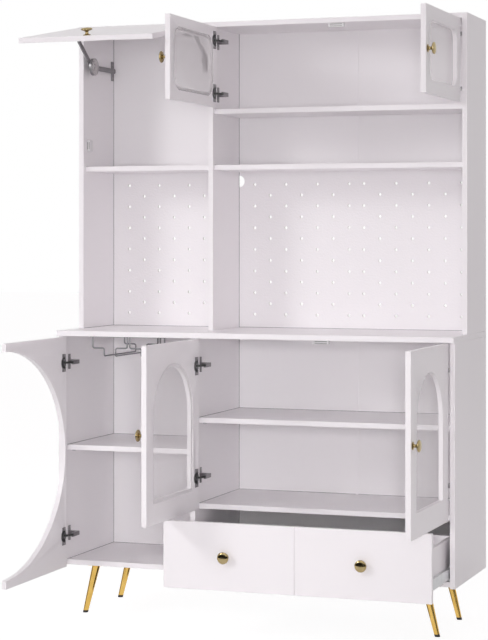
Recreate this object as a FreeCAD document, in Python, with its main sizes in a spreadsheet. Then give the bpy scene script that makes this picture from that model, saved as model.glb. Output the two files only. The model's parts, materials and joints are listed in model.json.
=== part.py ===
import FreeCAD, Part
import math
import os
import re

# Tall two-part cabinet: a base on splayed legs and a shallower hutch on its countertop.
# X runs along the width with 0 at mid-width, Y runs to the back with 0 at the back edges,
# Z runs up with 0 at the floor. The doors, the flap and the drawer stand open.

doc = FreeCAD.newDocument("tall_cabinet")
sheet = doc.addObject("Spreadsheet::Sheet", "Dims")

# Driving dimensions, in millimetres and degrees
SIZES = {
    # whole cabinet
    "overall_width": 1200, "overall_height": 1750, "board": 15, "left_bay": 403, "leg_clear": 144,
    # base
    "base_depth": 384, "base_top": 839, "counter_thick": 16, "counter_overhang": 16,
    "base_shelf_setback": 26, "right_shelf_setback": 27, "left_shelf_rise": 340, "right_shelf_rise": 248.5,
    "drawer_bay_tall": 169.5, "shelf_play": 0.5,
    # hutch
    "hutch_depth": 238, "open_shelf_tall": 150.5, "upper_bay_tall": 241.5, "hutch_shelf_setback": 12,
    "flap_shelf_setback": 18,
    # back boards and pegboards
    "back_board": 4, "back_inset": 6, "strip_wide": 8, "strip_proud": 1.5,
    "peg_pitch": 100, "peg_row": 33, "peg_radius": 4.5, "peg_first_drop": 38,
    "peg_edge_left": 54, "peg_edge_middle": 51, "peg_edge_right": 55, "cable_radius": 17.5, "cable_drop": 28,
    # legs
    "foot_inset": 63, "foot_front_inset": 53, "foot_back_inset": 69, "foot_radius": 7.5,
    "leg_top_radius": 12, "leg_splay_angle": 14, "pad_height": 7, "leg_plate_long": 44, "leg_plate_wide": 30,
    "leg_plate_thick": 2.5,
    # doors in general
    "door_thick": 15, "door_gap": 1, "lap": 7, "reveal": 2,
    # curved door
    "curved_open_angle": 89.2, "curve_land": 10, "curve_tip": 23,
    # arched doors
    "arch_left_open_angle": 90.9, "arch_right_open_angle": 89.4, "front_gap": 3.5, "arch_stile": 56,
    "arch_rail": 66,
    # upper doors
    "upper_left_open_angle": 89.35, "upper_right_open_angle": 89.8, "upper_lift": 3.5,
    "upper_stile": 39.5, "upper_rail": 38, "upper_corner": 36,
    # panes
    "pane_thick": 3, "pane_lip": 9, "pane_play": 0.3,
    # flap
    "flap_open_angle": 80.3, "flap_lap": 7.5, "flap_pivot_in": 3.5, "flap_pivot_up": 9,
    # knobs
    "knob_inset": 18, "rosette_radius": 11, "rosette_thick": 2.5, "neck_radius": 4.5, "neck_long": 8.5,
    "head_radius": 16.5, "head_flare": 4.5, "head_rim": 3, "head_crown": 3.5, "crown_radius": 10,
    # hinges
    "base_hinge_top": 76, "base_hinge_low": 92, "upper_hinge_end": 40, "flap_hinge_end": 75,
    "cup_radius": 17.5, "cup_depth": 11, "cup_edge": 21, "cup_wall": 0.8, "cup_play": 0.2,
    "flange_tall": 52, "flange_wide": 22, "flange_thick": 1.5,
    "wing_tall": 44, "wing_wide": 11, "wing_thick": 3, "wing_back": 41,
    "arm_wide": 6, "arm_tall": 12, "arm_long": 48, "arm_crank": 34, "arm_setback": 3, "flap_arm_drop": 15,
    "link_reach": 28, "link_back": 5, "link_swing_angle": 39.8, "link_tall": 6, "link_thick": 3,
    "link_eye": 3.2, "link_play": 0.3, "arm_pin_radius": 1.5, "cup_pin_edge": 8, "cup_pin_deep": 4,
    "cup_pin_radius": 1, "cup_pin_long": 21, "cup_eye": 2.3,
    # flap stays
    "stay_side": 6, "stay_plate_tall": 60, "stay_plate_wide": 16, "stay_plate_thick": 3,
    "stay_anchor_back": 25, "stay_anchor_drop": 103, "stay_elbow_in": 33, "stay_lower_angle": -0.3,
    "stay_upper_long": 117.4, "stay_upper_angle": 36, "stay_bar_tall": 15, "stay_bar_thick": 4,
    "stay_hub_radius": 26, "stay_hub_thick": 9, "stay_pin_radius": 4, "stay_gap": 0.6,
    "stay_foot_long": 34, "stay_foot_wide": 12, "stay_foot_thick": 2,
    # drawer
    "drawer_pull": 212, "drawer_overhang": 2, "drawer_head_drop": 15, "drawer_side": 12,
    "drawer_side_tall": 114, "drawer_side_lift": 19, "drawer_back_room": 55, "drawer_floor": 5,
    "drawer_floor_lift": 10, "slide_room": 13, "groove_wide": 3, "groove_deep": 6, "left_knob_share": 0.238,
    "right_knob_share": 0.25,
    # drawer slides
    "rail_tall": 40, "rail_back_room": 46, "rail_wide": 9, "rail_lip": 5, "rail_web": 2, "rail_lift": 4,
    "rail_play": 0.4, "rail_setback": 18,
    # wire rack for glasses
    "rack_bar_long": 240, "rack_bar_wide": 12, "rack_bar_thick": 3, "rack_front_inset": 12, "rack_deep": 250,
    "rack_wire": 2.2, "rack_bend": 6, "rack_drop": 35, "rack_step": 37, "rack_fall": 23,
    "rack_slot_wide": 110, "rack_slot_gap": 8,
    # catches and shelf pins
    "catch_wide": 48, "catch_deep": 13, "catch_tall": 12, "catch_setback": 10,
    "side_catch_tall": 34, "side_catch_wide": 26, "side_catch_thick": 8, "side_catch_lift": 47,
    "side_catch_setback": 25, "pin_radius": 3.5, "pin_long": 9, "pin_inset": 40,
    # one overrun for every cut
    "overrun": 5,
}

for row, (name, value) in enumerate(SIZES.items(), start=1):
    sheet.set("A%d" % row, name)
    sheet.set("B%d" % row, str(value))
    sheet.setAlias("B%d" % row, name)
doc.recompute()


def expr(text):
    """Put the sheet's name before each alias in an expression."""
    return re.sub(r"[A-Za-z_]+", lambda m: "Dims." + m.group(0) if m.group(0) in SIZES else m.group(0), text)


def size(text):
    """Work out an expression of aliases as a number, for shapes that are built in code."""
    return float(sheet.evalExpression(expr(text)))


# Places that several pieces share, as expressions of the driving dimensions
LEFT = "(-overall_width / 2)"
RIGHT = "(overall_width / 2)"
LEFT_IN = "(-overall_width / 2 + board)"
RIGHT_IN = "(overall_width / 2 - board)"
MID_LEFT = "(-overall_width / 2 + board + left_bay)"
MID_RIGHT = "(-overall_width / 2 + 2 * board + left_bay)"
RIGHT_BAY = "(overall_width - 3 * board - left_bay)"
COUNTER_LOW = "(base_top - counter_thick)"
BASE_FLOOR = "(leg_clear + board)"
COUNTER_DEPTH = "(base_depth + counter_overhang)"
DECK_TOP = "(leg_clear + 2 * board + drawer_bay_tall)"
LEFT_SHELF_TOP = "(leg_clear + board + left_shelf_rise)"
RIGHT_SHELF_TOP = "(%s + right_shelf_rise)" % DECK_TOP
DRAWER_BOTTOM = "(leg_clear - drawer_overhang)"
DRAWER_TOP = "(%s - drawer_head_drop)" % DECK_TOP
ARCH_BOTTOM = "(%s + front_gap)" % DRAWER_TOP
HUTCH_CEILING = "(overall_height - board)"
HUTCH_HIGH_TOP = "(overall_height - board - upper_bay_tall)"
HUTCH_LOW_TOP = "(%s - board - open_shelf_tall)" % HUTCH_HIGH_TOP
UPPER_BOTTOM = "(%s + upper_lift)" % HUTCH_HIGH_TOP
FLAP_BOTTOM = "(%s - flap_lap)" % HUTCH_LOW_TOP
BACK_FACE = "(-back_inset - back_board)"
HUTCH_DOOR_FACE = "(-hutch_depth - door_gap - door_thick)"
BASE_DOOR_TOP = "(base_top - counter_thick - reveal)"
HUTCH_DOOR_TOP = "(overall_height - board - reveal)"
FLAP_PIVOT_Y = "(%s + flap_pivot_in)" % HUTCH_DOOR_FACE
FLAP_PIVOT_Z = "(overall_height - board + flap_pivot_up)"
LEFT_WIDE = "(left_bay + lap - reveal)"
PAIR_WIDE = "((%s + 2 * lap - reveal) / 2)" % RIGHT_BAY

pieces = []


def keep(obj, label):
    """Name a finished piece and put it on the list that is written out."""
    obj.Label = label
    pieces.append(obj)
    return obj


def place(obj, x="0", y="0", z="0"):
    for axis, text in zip("xyz", (x, y, z)):
        obj.setExpression("Placement.Base." + axis, expr(text))
    return obj


def box(x, y, z, dx, dy, dz):
    obj = doc.addObject("Part::Box", "block")
    for name, text in (("Length", dx), ("Width", dy), ("Height", dz)):
        obj.setExpression(name, expr(text))
    return place(obj, x, y, z)


TURNS = {
    "X": FreeCAD.Rotation(FreeCAD.Vector(0, 1, 0), 90),
    "-X": FreeCAD.Rotation(FreeCAD.Vector(0, 1, 0), -90),
    "Y": FreeCAD.Rotation(FreeCAD.Vector(1, 0, 0), -90),
    "-Y": FreeCAD.Rotation(FreeCAD.Vector(1, 0, 0), 90),
    "Z": FreeCAD.Rotation(),
}


def rod(radius, length, x, y, z, axis="Z"):
    obj = doc.addObject("Part::Cylinder", "rod")
    obj.Placement = FreeCAD.Placement(FreeCAD.Vector(), TURNS[axis])
    obj.setExpression("Radius", expr(radius))
    obj.setExpression("Height", expr(length))
    return place(obj, x, y, z)


def cone(radius_low, radius_high, length, x, y, z, axis="Z"):
    obj = doc.addObject("Part::Cone", "cone")
    obj.Placement = FreeCAD.Placement(FreeCAD.Vector(), TURNS[axis])
    obj.setExpression("Radius1", expr(radius_low))
    obj.setExpression("Radius2", expr(radius_high))
    obj.setExpression("Height", expr(length))
    return place(obj, x, y, z)


def cut(base, tool):
    obj = doc.addObject("Part::Cut", "cut")
    obj.Base = base
    obj.Tool = tool
    return obj


def common(base, tool):
    obj = doc.addObject("Part::Common", "common")
    obj.Base = base
    obj.Tool = tool
    return obj


def fuse(*shapes):
    obj = doc.addObject("Part::MultiFuse", "joined")
    obj.Shapes = list(shapes)
    obj.Refine = True
    return obj


def group(*shapes):
    obj = doc.addObject("Part::Compound", "set")
    obj.Links = list(shapes)
    return obj


def swing(obj, x, y, z, axis, turn):
    """Set a piece that is drawn about its own pivot on that pivot, turned by an expression."""
    obj.Placement = FreeCAD.Placement(FreeCAD.Vector(), FreeCAD.Rotation(axis, 1))
    obj.setExpression("Placement.Rotation.Angle", expr(turn))
    return place(obj, x, y, z)


# Carcass of the base
def base_carcass():
    tall = "%s - leg_clear" % COUNTER_LOW
    keep(box(LEFT, "-base_depth", "leg_clear", "board", "base_depth", tall), "base_left_panel")
    keep(box(RIGHT_IN, "-base_depth", "leg_clear", "board", "base_depth", tall), "base_right_panel")
    keep(box(LEFT_IN, "-base_depth + base_shelf_setback", "leg_clear", "overall_width - 2 * board",
             "base_depth - base_shelf_setback", "board"), "base_bottom_panel")
    keep(box(MID_LEFT, "-base_depth", BASE_FLOOR, "board", "base_depth - back_inset - back_board",
             "%s - %s" % (COUNTER_LOW, BASE_FLOOR)), "base_divider")
    deck_deep = "base_depth - base_shelf_setback - back_inset - back_board"
    keep(box(MID_RIGHT, "-base_depth + base_shelf_setback", DECK_TOP + " - board", RIGHT_BAY, deck_deep,
             "board"), "drawer_deck")
    keep(box(LEFT_IN + " + shelf_play", "-base_depth + base_shelf_setback", LEFT_SHELF_TOP + " - board",
             "left_bay - 2 * shelf_play", deck_deep + " - shelf_play", "board"), "base_left_shelf")
    shelf_deep = "base_depth - right_shelf_setback - back_inset - back_board - shelf_play"
    keep(box(MID_RIGHT + " + shelf_play", "-base_depth + right_shelf_setback", RIGHT_SHELF_TOP + " - board",
             RIGHT_BAY + " - 2 * shelf_play", shelf_deep, "board"), "base_right_shelf")
    keep(box(LEFT, "-" + COUNTER_DEPTH, COUNTER_LOW, "overall_width", COUNTER_DEPTH, "counter_thick"),
         "countertop")


# Carcass of the hutch
def hutch_carcass():
    tall = "overall_height - base_top"
    keep(box(LEFT, "-hutch_depth", "base_top", "board", "hutch_depth", tall), "hutch_left_panel")
    keep(box(RIGHT_IN, "-hutch_depth", "base_top", "board", "hutch_depth", tall), "hutch_right_panel")
    keep(box(LEFT_IN, "-hutch_depth", HUTCH_CEILING, "overall_width - 2 * board", "hutch_depth", "board"),
         "hutch_top_panel")
    keep(box(MID_LEFT, "-hutch_depth", "base_top", "board", "hutch_depth - back_inset - back_board",
             HUTCH_CEILING + " - base_top"), "hutch_divider")
    deep = "hutch_depth - back_inset - back_board"
    keep(box(LEFT_IN, "-hutch_depth + flap_shelf_setback", HUTCH_LOW_TOP + " - board", "left_bay",
             deep + " - flap_shelf_setback", "board"), "hutch_left_shelf")
    keep(group(*[box(MID_RIGHT, "-hutch_depth + hutch_shelf_setback", top + " - board", RIGHT_BAY,
                     deep + " - hutch_shelf_setback", "board") for top in (HUTCH_LOW_TOP, HUTCH_HIGH_TOP)]),
         "hutch_right_shelves")


# Back boards, with a joint strip down the middle of the wide bay
def back_boards():
    half = "(%s / 2)" % RIGHT_BAY
    columns = ((LEFT_IN, "left_bay"), (MID_RIGHT, half), (MID_RIGHT + " + " + half, half))
    rows = ((BASE_FLOOR, COUNTER_LOW), (HUTCH_LOW_TOP + " - board", HUTCH_CEILING))
    keep(group(*[box(x, BACK_FACE, low, wide, "back_board", "%s - (%s)" % (high, low))
                 for x, wide in columns for low, high in rows]), "back_boards")
    strips = [(DECK_TOP, RIGHT_SHELF_TOP + " - board - shelf_play"),
              (RIGHT_SHELF_TOP + " + shelf_play", COUNTER_LOW),
              (HUTCH_LOW_TOP, HUTCH_HIGH_TOP + " - board"), (HUTCH_HIGH_TOP, HUTCH_CEILING)]
    strip_x = MID_RIGHT + " + %s - strip_wide / 2" % half
    keep(group(*[box(strip_x, BACK_FACE + " - strip_proud", low, "strip_wide", "strip_proud",
                     "%s - (%s)" % (high, low)) for low, high in strips]), "back_joint_strips")


def peg_board(width, edge, notched, mirrored):
    """One board with staggered round holes, drawn from its lower left front corner."""
    tall = size(HUTCH_LOW_TOP + " - board - base_top")
    thick = size("back_board")
    board = Part.makeBox(width, thick, tall)
    rows = int((tall - 2 * size("peg_first_drop")) / size("peg_row")) + 1
    columns = int((width - edge - 2 * size("peg_radius")) / size("peg_pitch")) + 1
    holes = []
    for row in range(rows):
        z = tall - size("peg_first_drop") - row * size("peg_row")
        stagger = row % 2
        for column in range(columns - stagger):
            x = edge + (column + stagger / 2) * size("peg_pitch")
            if mirrored:
                x = width - x
            holes.append(Part.makeCylinder(size("peg_radius"), thick, FreeCAD.Vector(x, 0, z),
                                           FreeCAD.Vector(0, 1, 0)))
    if notched:
        notch = FreeCAD.Vector(0, 0, tall - size("cable_drop"))
        holes.append(Part.makeCylinder(size("cable_radius"), thick, notch, FreeCAD.Vector(0, 1, 0)))
    return board.cut(Part.makeCompound(holes))


def peg_boards():
    left = size("left_bay")
    half = size(RIGHT_BAY) / 2
    layout = ((LEFT_IN, left, "peg_edge_left", False, False),
              (MID_RIGHT, half, "peg_edge_middle", True, False),
              (MID_RIGHT + " + %s / 2" % RIGHT_BAY, half, "peg_edge_right", False, True))
    shapes = []
    for x, width, edge, notched, mirrored in layout:
        shape = peg_board(width, size(edge), notched, mirrored)
        shape.translate(FreeCAD.Vector(size(x), 0, 0))
        shapes.append(shape)
    obj = doc.addObject("Part::Feature", "pegboards")
    obj.Shape = Part.makeCompound(shapes)
    place(obj, "0", BACK_FACE, "base_top")
    keep(obj, "pegboards")


# Splayed legs, each a tapered tube that is trimmed level at both ends
def leg_cone(side, y):
    """A cone along one leg's axis, longer than the leg at both ends."""
    along = "(leg_clear / cos(leg_splay_angle * 1deg))"
    taper = "((leg_top_radius - foot_radius) / %s)" % along
    obj = doc.addObject("Part::Cone", "leg_axis")
    obj.Placement = FreeCAD.Placement(FreeCAD.Vector(), FreeCAD.Rotation(FreeCAD.Vector(0, 1, 0), 1))
    obj.setExpression("Placement.Rotation.Angle", expr("%d * leg_splay_angle" % -side))
    obj.setExpression("Radius1", expr("foot_radius - %s * overrun" % taper))
    obj.setExpression("Radius2", expr("leg_top_radius + %s * overrun" % taper))
    obj.setExpression("Height", expr(along + " + 2 * overrun"))
    foot = "%d * (overall_width / 2 - foot_inset)" % side
    return place(obj, foot + " + %d * overrun * sin(leg_splay_angle * 1deg)" % side, y,
                 "-overrun * cos(leg_splay_angle * 1deg)")


def level_slab(low, high):
    return box(LEFT, "-base_depth", low, "overall_width", "base_depth", "%s - (%s)" % (high, low))


def legs():
    tubes = []
    pads = []
    plate_low = "leg_clear - leg_plate_thick"
    for side in (-1, 1):
        for y in ("-base_depth + foot_front_inset", "-foot_back_inset"):
            tube = common(leg_cone(side, y), level_slab("pad_height", plate_low))
            pads.append(common(leg_cone(side, y), level_slab("0", "pad_height")))
            top = "%d * (overall_width / 2 - foot_inset - leg_clear * tan(leg_splay_angle * 1deg))" % side
            plate = box(top + " - leg_plate_long / 2", y + " - leg_plate_wide / 2", plate_low,
                        "leg_plate_long", "leg_plate_wide", "leg_plate_thick")
            tubes.append(fuse(tube, plate))
    keep(group(*tubes), "legs")
    keep(group(*pads), "leg_feet")


# Knob, drawn along an axis from its seat outwards
def knob(x, y, z, axis):
    unit = {"X": ("+", ""), "-X": ("-", ""), "-Y": ("", "-"), "Y": ("", "+")}[axis]
    stages = [("rod", "rosette_radius", None, "rosette_thick"), ("rod", "neck_radius", None, "neck_long"),
              ("cone", "neck_radius", "head_radius", "head_flare"), ("rod", "head_radius", None, "head_rim"),
              ("cone", "head_radius", "crown_radius", "head_crown")]
    shapes = []
    reach = "0"
    for kind, low, high, length in stages:
        at_x = "%s %s (%s)" % (x, unit[0], reach) if unit[0] else x
        at_y = "%s %s (%s)" % (y, unit[1], reach) if unit[1] else y
        if kind == "rod":
            shapes.append(rod(low, length, at_x, at_y, z, axis))
        else:
            shapes.append(cone(low, high, length, at_x, at_y, z, axis))
        reach += " + " + length
    return fuse(*shapes)


# Side-hung doors are drawn shut about the pin in their hinge cups: hand +1 hangs on the left, -1 on the
# right. A link joins that pin to the pin on the carcass arm, and both stand at their open angles.
ALONG_LINK = "(cup_pin_edge - lap - link_reach)"
ACROSS_LINK = "(-link_back - cup_pin_deep)"
OUTER = "(cup_pin_deep - door_thick)"
INNER = "cup_pin_deep"


class Door:
    def __init__(self, name, hand, panel_in, front, width, low, high, opened):
        self.name = name
        self.hand = hand
        self.panel_in = panel_in
        self.front = front
        self.width = width
        self.low = low
        self.high = high
        self.turn = "%d * %s" % (-hand, opened)
        self.arm_x = "%s + %d * link_reach" % (panel_in, hand)
        self.arm_y = "%s - door_gap + link_back" % front
        swept = (ALONG_LINK, ACROSS_LINK)
        reach = "(%s * cos(link_swing_angle * 1deg) - %s * sin(link_swing_angle * 1deg))" % swept
        drop = "%s * sin(link_swing_angle * 1deg) + %s * cos(link_swing_angle * 1deg)" % swept
        self.pin_x = "%s + %d * %s" % (self.arm_x, hand, reach)
        self.pin_y = "%s + %s" % (self.arm_y, drop)

    def along(self, distance):
        """Local X of a place at a distance from the hinge edge."""
        return "%d * (%s - cup_pin_edge)" % (self.hand, distance)

    def span(self, start, length):
        """Local X where a stretch of the door begins, whichever way the door runs."""
        return self.along(start) if self.hand > 0 else self.along("%s + %s" % (start, length))

    def slab(self, start, length, y, deep, low, tall):
        return box(self.span(start, length), y, low, length, deep, tall)

    def hang(self, obj, part):
        swing(obj, self.pin_x, self.pin_y, "0", FreeCAD.Vector(0, 0, 1), self.turn)
        return keep(obj, self.name + "_" + part)


def door_blank(door):
    return door.slab("0", door.width, OUTER, "door_thick", door.low, "%s - (%s)" % (door.high, door.low))


def cup_bores(door, heights):
    return [rod("cup_radius + cup_play", "cup_depth + cup_play + overrun", door.along("cup_edge"),
                INNER + " + overrun", z, "-Y") for z in heights]


def hinge_cups(door, heights):
    """Steel cups let into the door, each with a flange on the inner face and a pin across its mouth."""
    cups = []
    for z in heights:
        flange = door.slab("cup_edge - flange_wide / 2", "flange_wide", INNER, "flange_thick",
                           z + " - flange_tall / 2", "flange_tall")
        cup = rod("cup_radius", "cup_depth", door.along("cup_edge"), INNER, z, "-Y")
        hollow = rod("cup_radius - cup_wall", "cup_depth - cup_wall + overrun", door.along("cup_edge"),
                     INNER + " + overrun", z, "-Y")
        pin = rod("cup_pin_radius", "cup_pin_long", "0", "0", z + " - cup_pin_long / 2")
        cups.append(fuse(cut(fuse(flange, cup), hollow), pin))
    door.hang(group(*cups), "hinge_cups")


# Knees of a hinge link, as shares of its way along and across, from the arm's pin to the cup's pin
LINK_KNEE_SHARES = ((0, 0), (0.49, 0.64), (0.73, 1.4), (1, 1))


def link_shape(hand, z):
    """A strap bent round the door's edge, drawn as with the door shut, about the arm's pin."""
    along = size(ALONG_LINK) * hand
    across = size(ACROSS_LINK)
    tall = size("link_tall")
    low = size(z) - tall / 2
    knees = [FreeCAD.Vector(x * along, y * across, low) for x, y in LINK_KNEE_SHARES]
    outline = Part.makePolygon(knees).makeOffset2D(size("link_thick") / 2, 0, False, False, False)
    up = FreeCAD.Vector(0, 0, 1)
    strap = Part.Face(outline).extrude(up * tall)
    eyes = [Part.makeCylinder(size(radius), tall, end, up)
            for radius, end in (("link_eye", knees[0]), ("cup_eye", knees[-1]))]
    holes = [Part.makeCylinder(size(radius + " + link_play"), tall, end, up)
             for radius, end in (("arm_pin_radius", knees[0]), ("cup_pin_radius", knees[-1]))]
    return strap.fuse(eyes).cut(Part.makeCompound(holes)).removeSplitter()


def hinge_links(door, heights):
    obj = doc.addObject("Part::Feature", "links")
    obj.Shape = Part.makeCompound([link_shape(door.hand, z) for z in heights])
    swing(obj, door.arm_x, door.arm_y, "0", FreeCAD.Vector(0, 0, 1), "%d * link_swing_angle" % door.hand)
    keep(obj, door.name + "_hinge_links")


def hinge_arms(door, heights):
    """Mounting plates with cranked arms on a panel's inner face, forked for the link at the tip."""
    arms = []
    for z in heights:
        def slab(start, wide, y, deep, tall):
            x = "%s + %s" % (door.panel_in, start)
            if door.hand < 0:
                x = "%s - (%s) - (%s)" % (door.panel_in, start, wide)
            return box(x, y, "%s - (%s) / 2" % (z, tall), wide, deep, tall)
        arm_start = "link_reach - arm_wide / 2"
        tail = "%s + arm_long" % door.front
        wings = slab("0", "wing_thick", door.front + " + wing_back - wing_wide / 2", "wing_wide", "wing_tall")
        web = slab("0", arm_start, door.front + " + arm_crank", "arm_long - arm_crank", "arm_tall")
        arm = slab(arm_start, "arm_wide", door.arm_y, "%s - (%s)" % (tail, door.arm_y), "arm_tall")
        tip = rod("arm_wide / 2", "arm_tall", door.arm_x, door.arm_y, z + " - arm_tall / 2")
        fork = slab(arm_start + " - overrun", "arm_wide + 2 * overrun", door.arm_y + " - overrun",
                    "overrun + link_eye + link_play", "link_tall + 2 * link_play")
        pin = rod("arm_pin_radius", "arm_tall", door.arm_x, door.arm_y, z + " - arm_tall / 2")
        arms.append(fuse(cut(fuse(wings, web, arm, tip), fork), pin))
    return arms


# The curved door's free side is cut away by half an ellipse
def curved_door():
    door = Door("curved_door", 1, LEFT_IN, "-base_depth", LEFT_WIDE, "leg_clear", BASE_DOOR_TOP,
                "curved_open_angle")
    heights = [BASE_DOOR_TOP + " - base_hinge_top", "(leg_clear + base_hinge_low)"]
    bow = doc.addObject("Part::Ellipse", "bow")
    tall = "((%s - leg_clear) / 2 - curve_tip)" % BASE_DOOR_TOP
    bow.setExpression("MajorRadius", expr(LEFT_WIDE + " - curve_land"))
    bow.setExpression("MinorRadius", expr(tall))
    bow.Placement = FreeCAD.Placement(FreeCAD.Vector(), TURNS["Y"])
    place(bow, door.along(LEFT_WIDE), OUTER + " - overrun", "(%s + leg_clear) / 2" % BASE_DOOR_TOP)
    tool = doc.addObject("Part::Extrusion", "bow_tool")
    tool.Base = bow
    tool.DirMode = "Custom"
    tool.Dir = FreeCAD.Vector(0, 1, 0)
    tool.Solid = True
    tool.setExpression("LengthFwd", expr("door_thick + 2 * overrun"))
    door.hang(cut(door_blank(door), fuse(tool, *cup_bores(door, heights))), "panel")
    hinge_cups(door, heights)
    hinge_links(door, heights)
    return hinge_arms(door, heights)


def framed_door(door, heights, window, rebate, pane):
    """A board with a window, and a pane let into a rebate on its inner face."""
    door.hang(cut(door_blank(door), fuse(window, rebate, *cup_bores(door, heights))), "panel")
    door.hang(pane, "pane")
    middle = "((%s + %s) / 2)" % (door.low, door.high)
    door.hang(knob(door.along(door.width + " - knob_inset"), OUTER, middle, "-Y"), "knob")
    hinge_cups(door, heights)
    hinge_links(door, heights)


def arch_slab(door, margin, y, deep):
    """An arch-topped slab, wider than the window by a margin."""
    half = "((%s) / 2 - arch_stile + %s)" % (door.width, margin)
    spring = "%s - arch_rail - ((%s) / 2 - arch_stile)" % (door.high, door.width)
    foot = "%s + arch_rail - (%s)" % (door.low, margin)
    wide = "%s - 2 * arch_stile + 2 * (%s)" % (door.width, margin)
    straight = door.slab("arch_stile - (%s)" % margin, wide, y, deep, foot, "%s - (%s)" % (spring, foot))
    return fuse(straight, rod(half, deep, door.along("(%s) / 2" % door.width), y, spring, "Y"))


def arched_doors():
    arms = []
    for name, hand, panel_in, opened in (("left_arch_door", 1, MID_RIGHT, "arch_left_open_angle"),
                                         ("right_arch_door", -1, RIGHT_IN, "arch_right_open_angle")):
        door = Door(name, hand, panel_in, "-base_depth", PAIR_WIDE, ARCH_BOTTOM, BASE_DOOR_TOP, opened)
        heights = [BASE_DOOR_TOP + " - base_hinge_top", "(%s + base_hinge_low)" % ARCH_BOTTOM]
        window = arch_slab(door, "0", OUTER + " - overrun", "door_thick + 2 * overrun")
        rebate = arch_slab(door, "pane_lip", INNER + " - pane_thick", "pane_thick + overrun")
        pane = arch_slab(door, "pane_lip - pane_play", INNER + " - pane_thick", "pane_thick")
        framed_door(door, heights, window, rebate, pane)
        arms += hinge_arms(door, heights)
    return arms


def round_slab(door, margin, y, deep):
    """A slab with rounded corners, wider than the window by a margin."""
    radius = "(upper_corner + %s)" % margin
    start = "upper_stile - (%s)" % margin
    long = "(%s - 2 * upper_stile + 2 * (%s))" % (door.width, margin)
    low = "%s + upper_rail - (%s)" % (door.low, margin)
    tall = "(%s - %s - 2 * upper_rail + 2 * (%s))" % (door.high, door.low, margin)
    flat = door.slab(start, long, y, deep, "%s + %s" % (low, radius), "%s - 2 * %s" % (tall, radius))
    upright = door.slab("%s + %s" % (start, radius), "(%s - 2 * %s)" % (long, radius), y, deep, low, tall)
    corners = [rod(radius, deep, door.along("%s + %s" % (start, x)), y, "%s + %s" % (low, z), "Y")
               for x in (radius, "%s - %s" % (long, radius)) for z in (radius, "%s - %s" % (tall, radius))]
    return fuse(flat, upright, *corners)


def upper_doors():
    arms = []
    for name, hand, panel_in, opened in (("left_upper_door", 1, MID_RIGHT, "upper_left_open_angle"),
                                         ("right_upper_door", -1, RIGHT_IN, "upper_right_open_angle")):
        door = Door(name, hand, panel_in, "-hutch_depth", PAIR_WIDE, UPPER_BOTTOM, HUTCH_DOOR_TOP, opened)
        heights = [HUTCH_DOOR_TOP + " - upper_hinge_end", "(%s + upper_hinge_end)" % UPPER_BOTTOM]
        window = round_slab(door, "0", OUTER + " - overrun", "door_thick + 2 * overrun")
        rebate = round_slab(door, "pane_lip", INNER + " - pane_thick", "pane_thick + overrun")
        pane = round_slab(door, "pane_lip - pane_play", INNER + " - pane_thick", "pane_thick")
        framed_door(door, heights, window, rebate, pane)
        arms += hinge_arms(door, heights)
    return arms


# The flap is drawn shut, hanging from its pivot, and lifts about an axis along X
def flap_hang(obj, label):
    swing(obj, "0", FLAP_PIVOT_Y, FLAP_PIVOT_Z, FreeCAD.Vector(1, 0, 0), "-flap_open_angle")
    return keep(obj, label)


FLAP_OUTER = "(-flap_pivot_in)"
FLAP_INNER = "(door_thick - flap_pivot_in)"
FLAP_HEAD = "(-reveal - flap_pivot_up)"
FLAP_LEFT = "(%s - lap)" % LEFT_IN
FLAP_TALL = "(%s - %s)" % (HUTCH_DOOR_TOP, FLAP_BOTTOM)


def flap():
    cup_z = FLAP_HEAD + " - cup_edge"
    places = [FLAP_LEFT + " + flap_hinge_end", "%s + %s - flap_hinge_end" % (FLAP_LEFT, LEFT_WIDE)]
    board = box(FLAP_LEFT, FLAP_OUTER, "%s - %s" % (FLAP_HEAD, FLAP_TALL), LEFT_WIDE, "door_thick", FLAP_TALL)
    mouth = FLAP_INNER + " + overrun"
    bores = [rod("cup_radius + cup_play", "cup_depth + cup_play + overrun", x, mouth, cup_z, "-Y")
             for x in places]
    flap_hang(cut(board, fuse(*bores)), "flap_panel")
    knob_z = "%s - %s + knob_inset" % (FLAP_HEAD, FLAP_TALL)
    flap_hang(knob("%s + %s / 2" % (FLAP_LEFT, LEFT_WIDE), FLAP_OUTER, knob_z, "-Y"), "flap_knob")
    cups = []
    arms = []
    for x in places:
        flange = box(x + " - flange_tall / 2", FLAP_INNER, cup_z + " - flange_wide / 2", "flange_tall",
                     "flange_thick", "flange_wide")
        cup = rod("cup_radius", "cup_depth", x, FLAP_INNER, cup_z, "-Y")
        hollow = rod("cup_radius - cup_wall", "cup_depth - cup_wall + overrun", x, mouth, cup_z, "-Y")
        cups.append(cut(fuse(flange, cup), hollow))
        wings = box(x + " - wing_tall / 2", "-hutch_depth + wing_back - wing_wide / 2",
                    HUTCH_CEILING + " - wing_thick", "wing_tall", "wing_wide", "wing_thick")
        web = box(x + " - arm_tall / 2", "-hutch_depth + arm_crank", HUTCH_CEILING + " - flap_arm_drop",
                  "arm_tall", "arm_long - arm_crank", "flap_arm_drop")
        arm = box(x + " - arm_tall / 2", "-hutch_depth + arm_setback",
                  HUTCH_CEILING + " - flap_arm_drop - arm_wide", "arm_tall", "arm_long - arm_setback",
                  "arm_wide")
        arms.append(fuse(wings, web, arm))
    flap_hang(group(*cups), "flap_hinge_cups")
    return arms


# Folding stays: a lower bar from the side panel, a hub at its elbow, an upper bar to the flap
ANCHOR_Y = "(-stay_anchor_back)"
ANCHOR_Z = "(%s - stay_anchor_drop)" % HUTCH_CEILING
LOWER_LONG = "((hutch_depth - stay_anchor_back - stay_elbow_in) / cos(stay_lower_angle * 1deg))"
ELBOW_Y = "(stay_elbow_in - hutch_depth)"
ELBOW_Z = "(%s + %s * sin(stay_lower_angle * 1deg))" % (ANCHOR_Z, LOWER_LONG)


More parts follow.
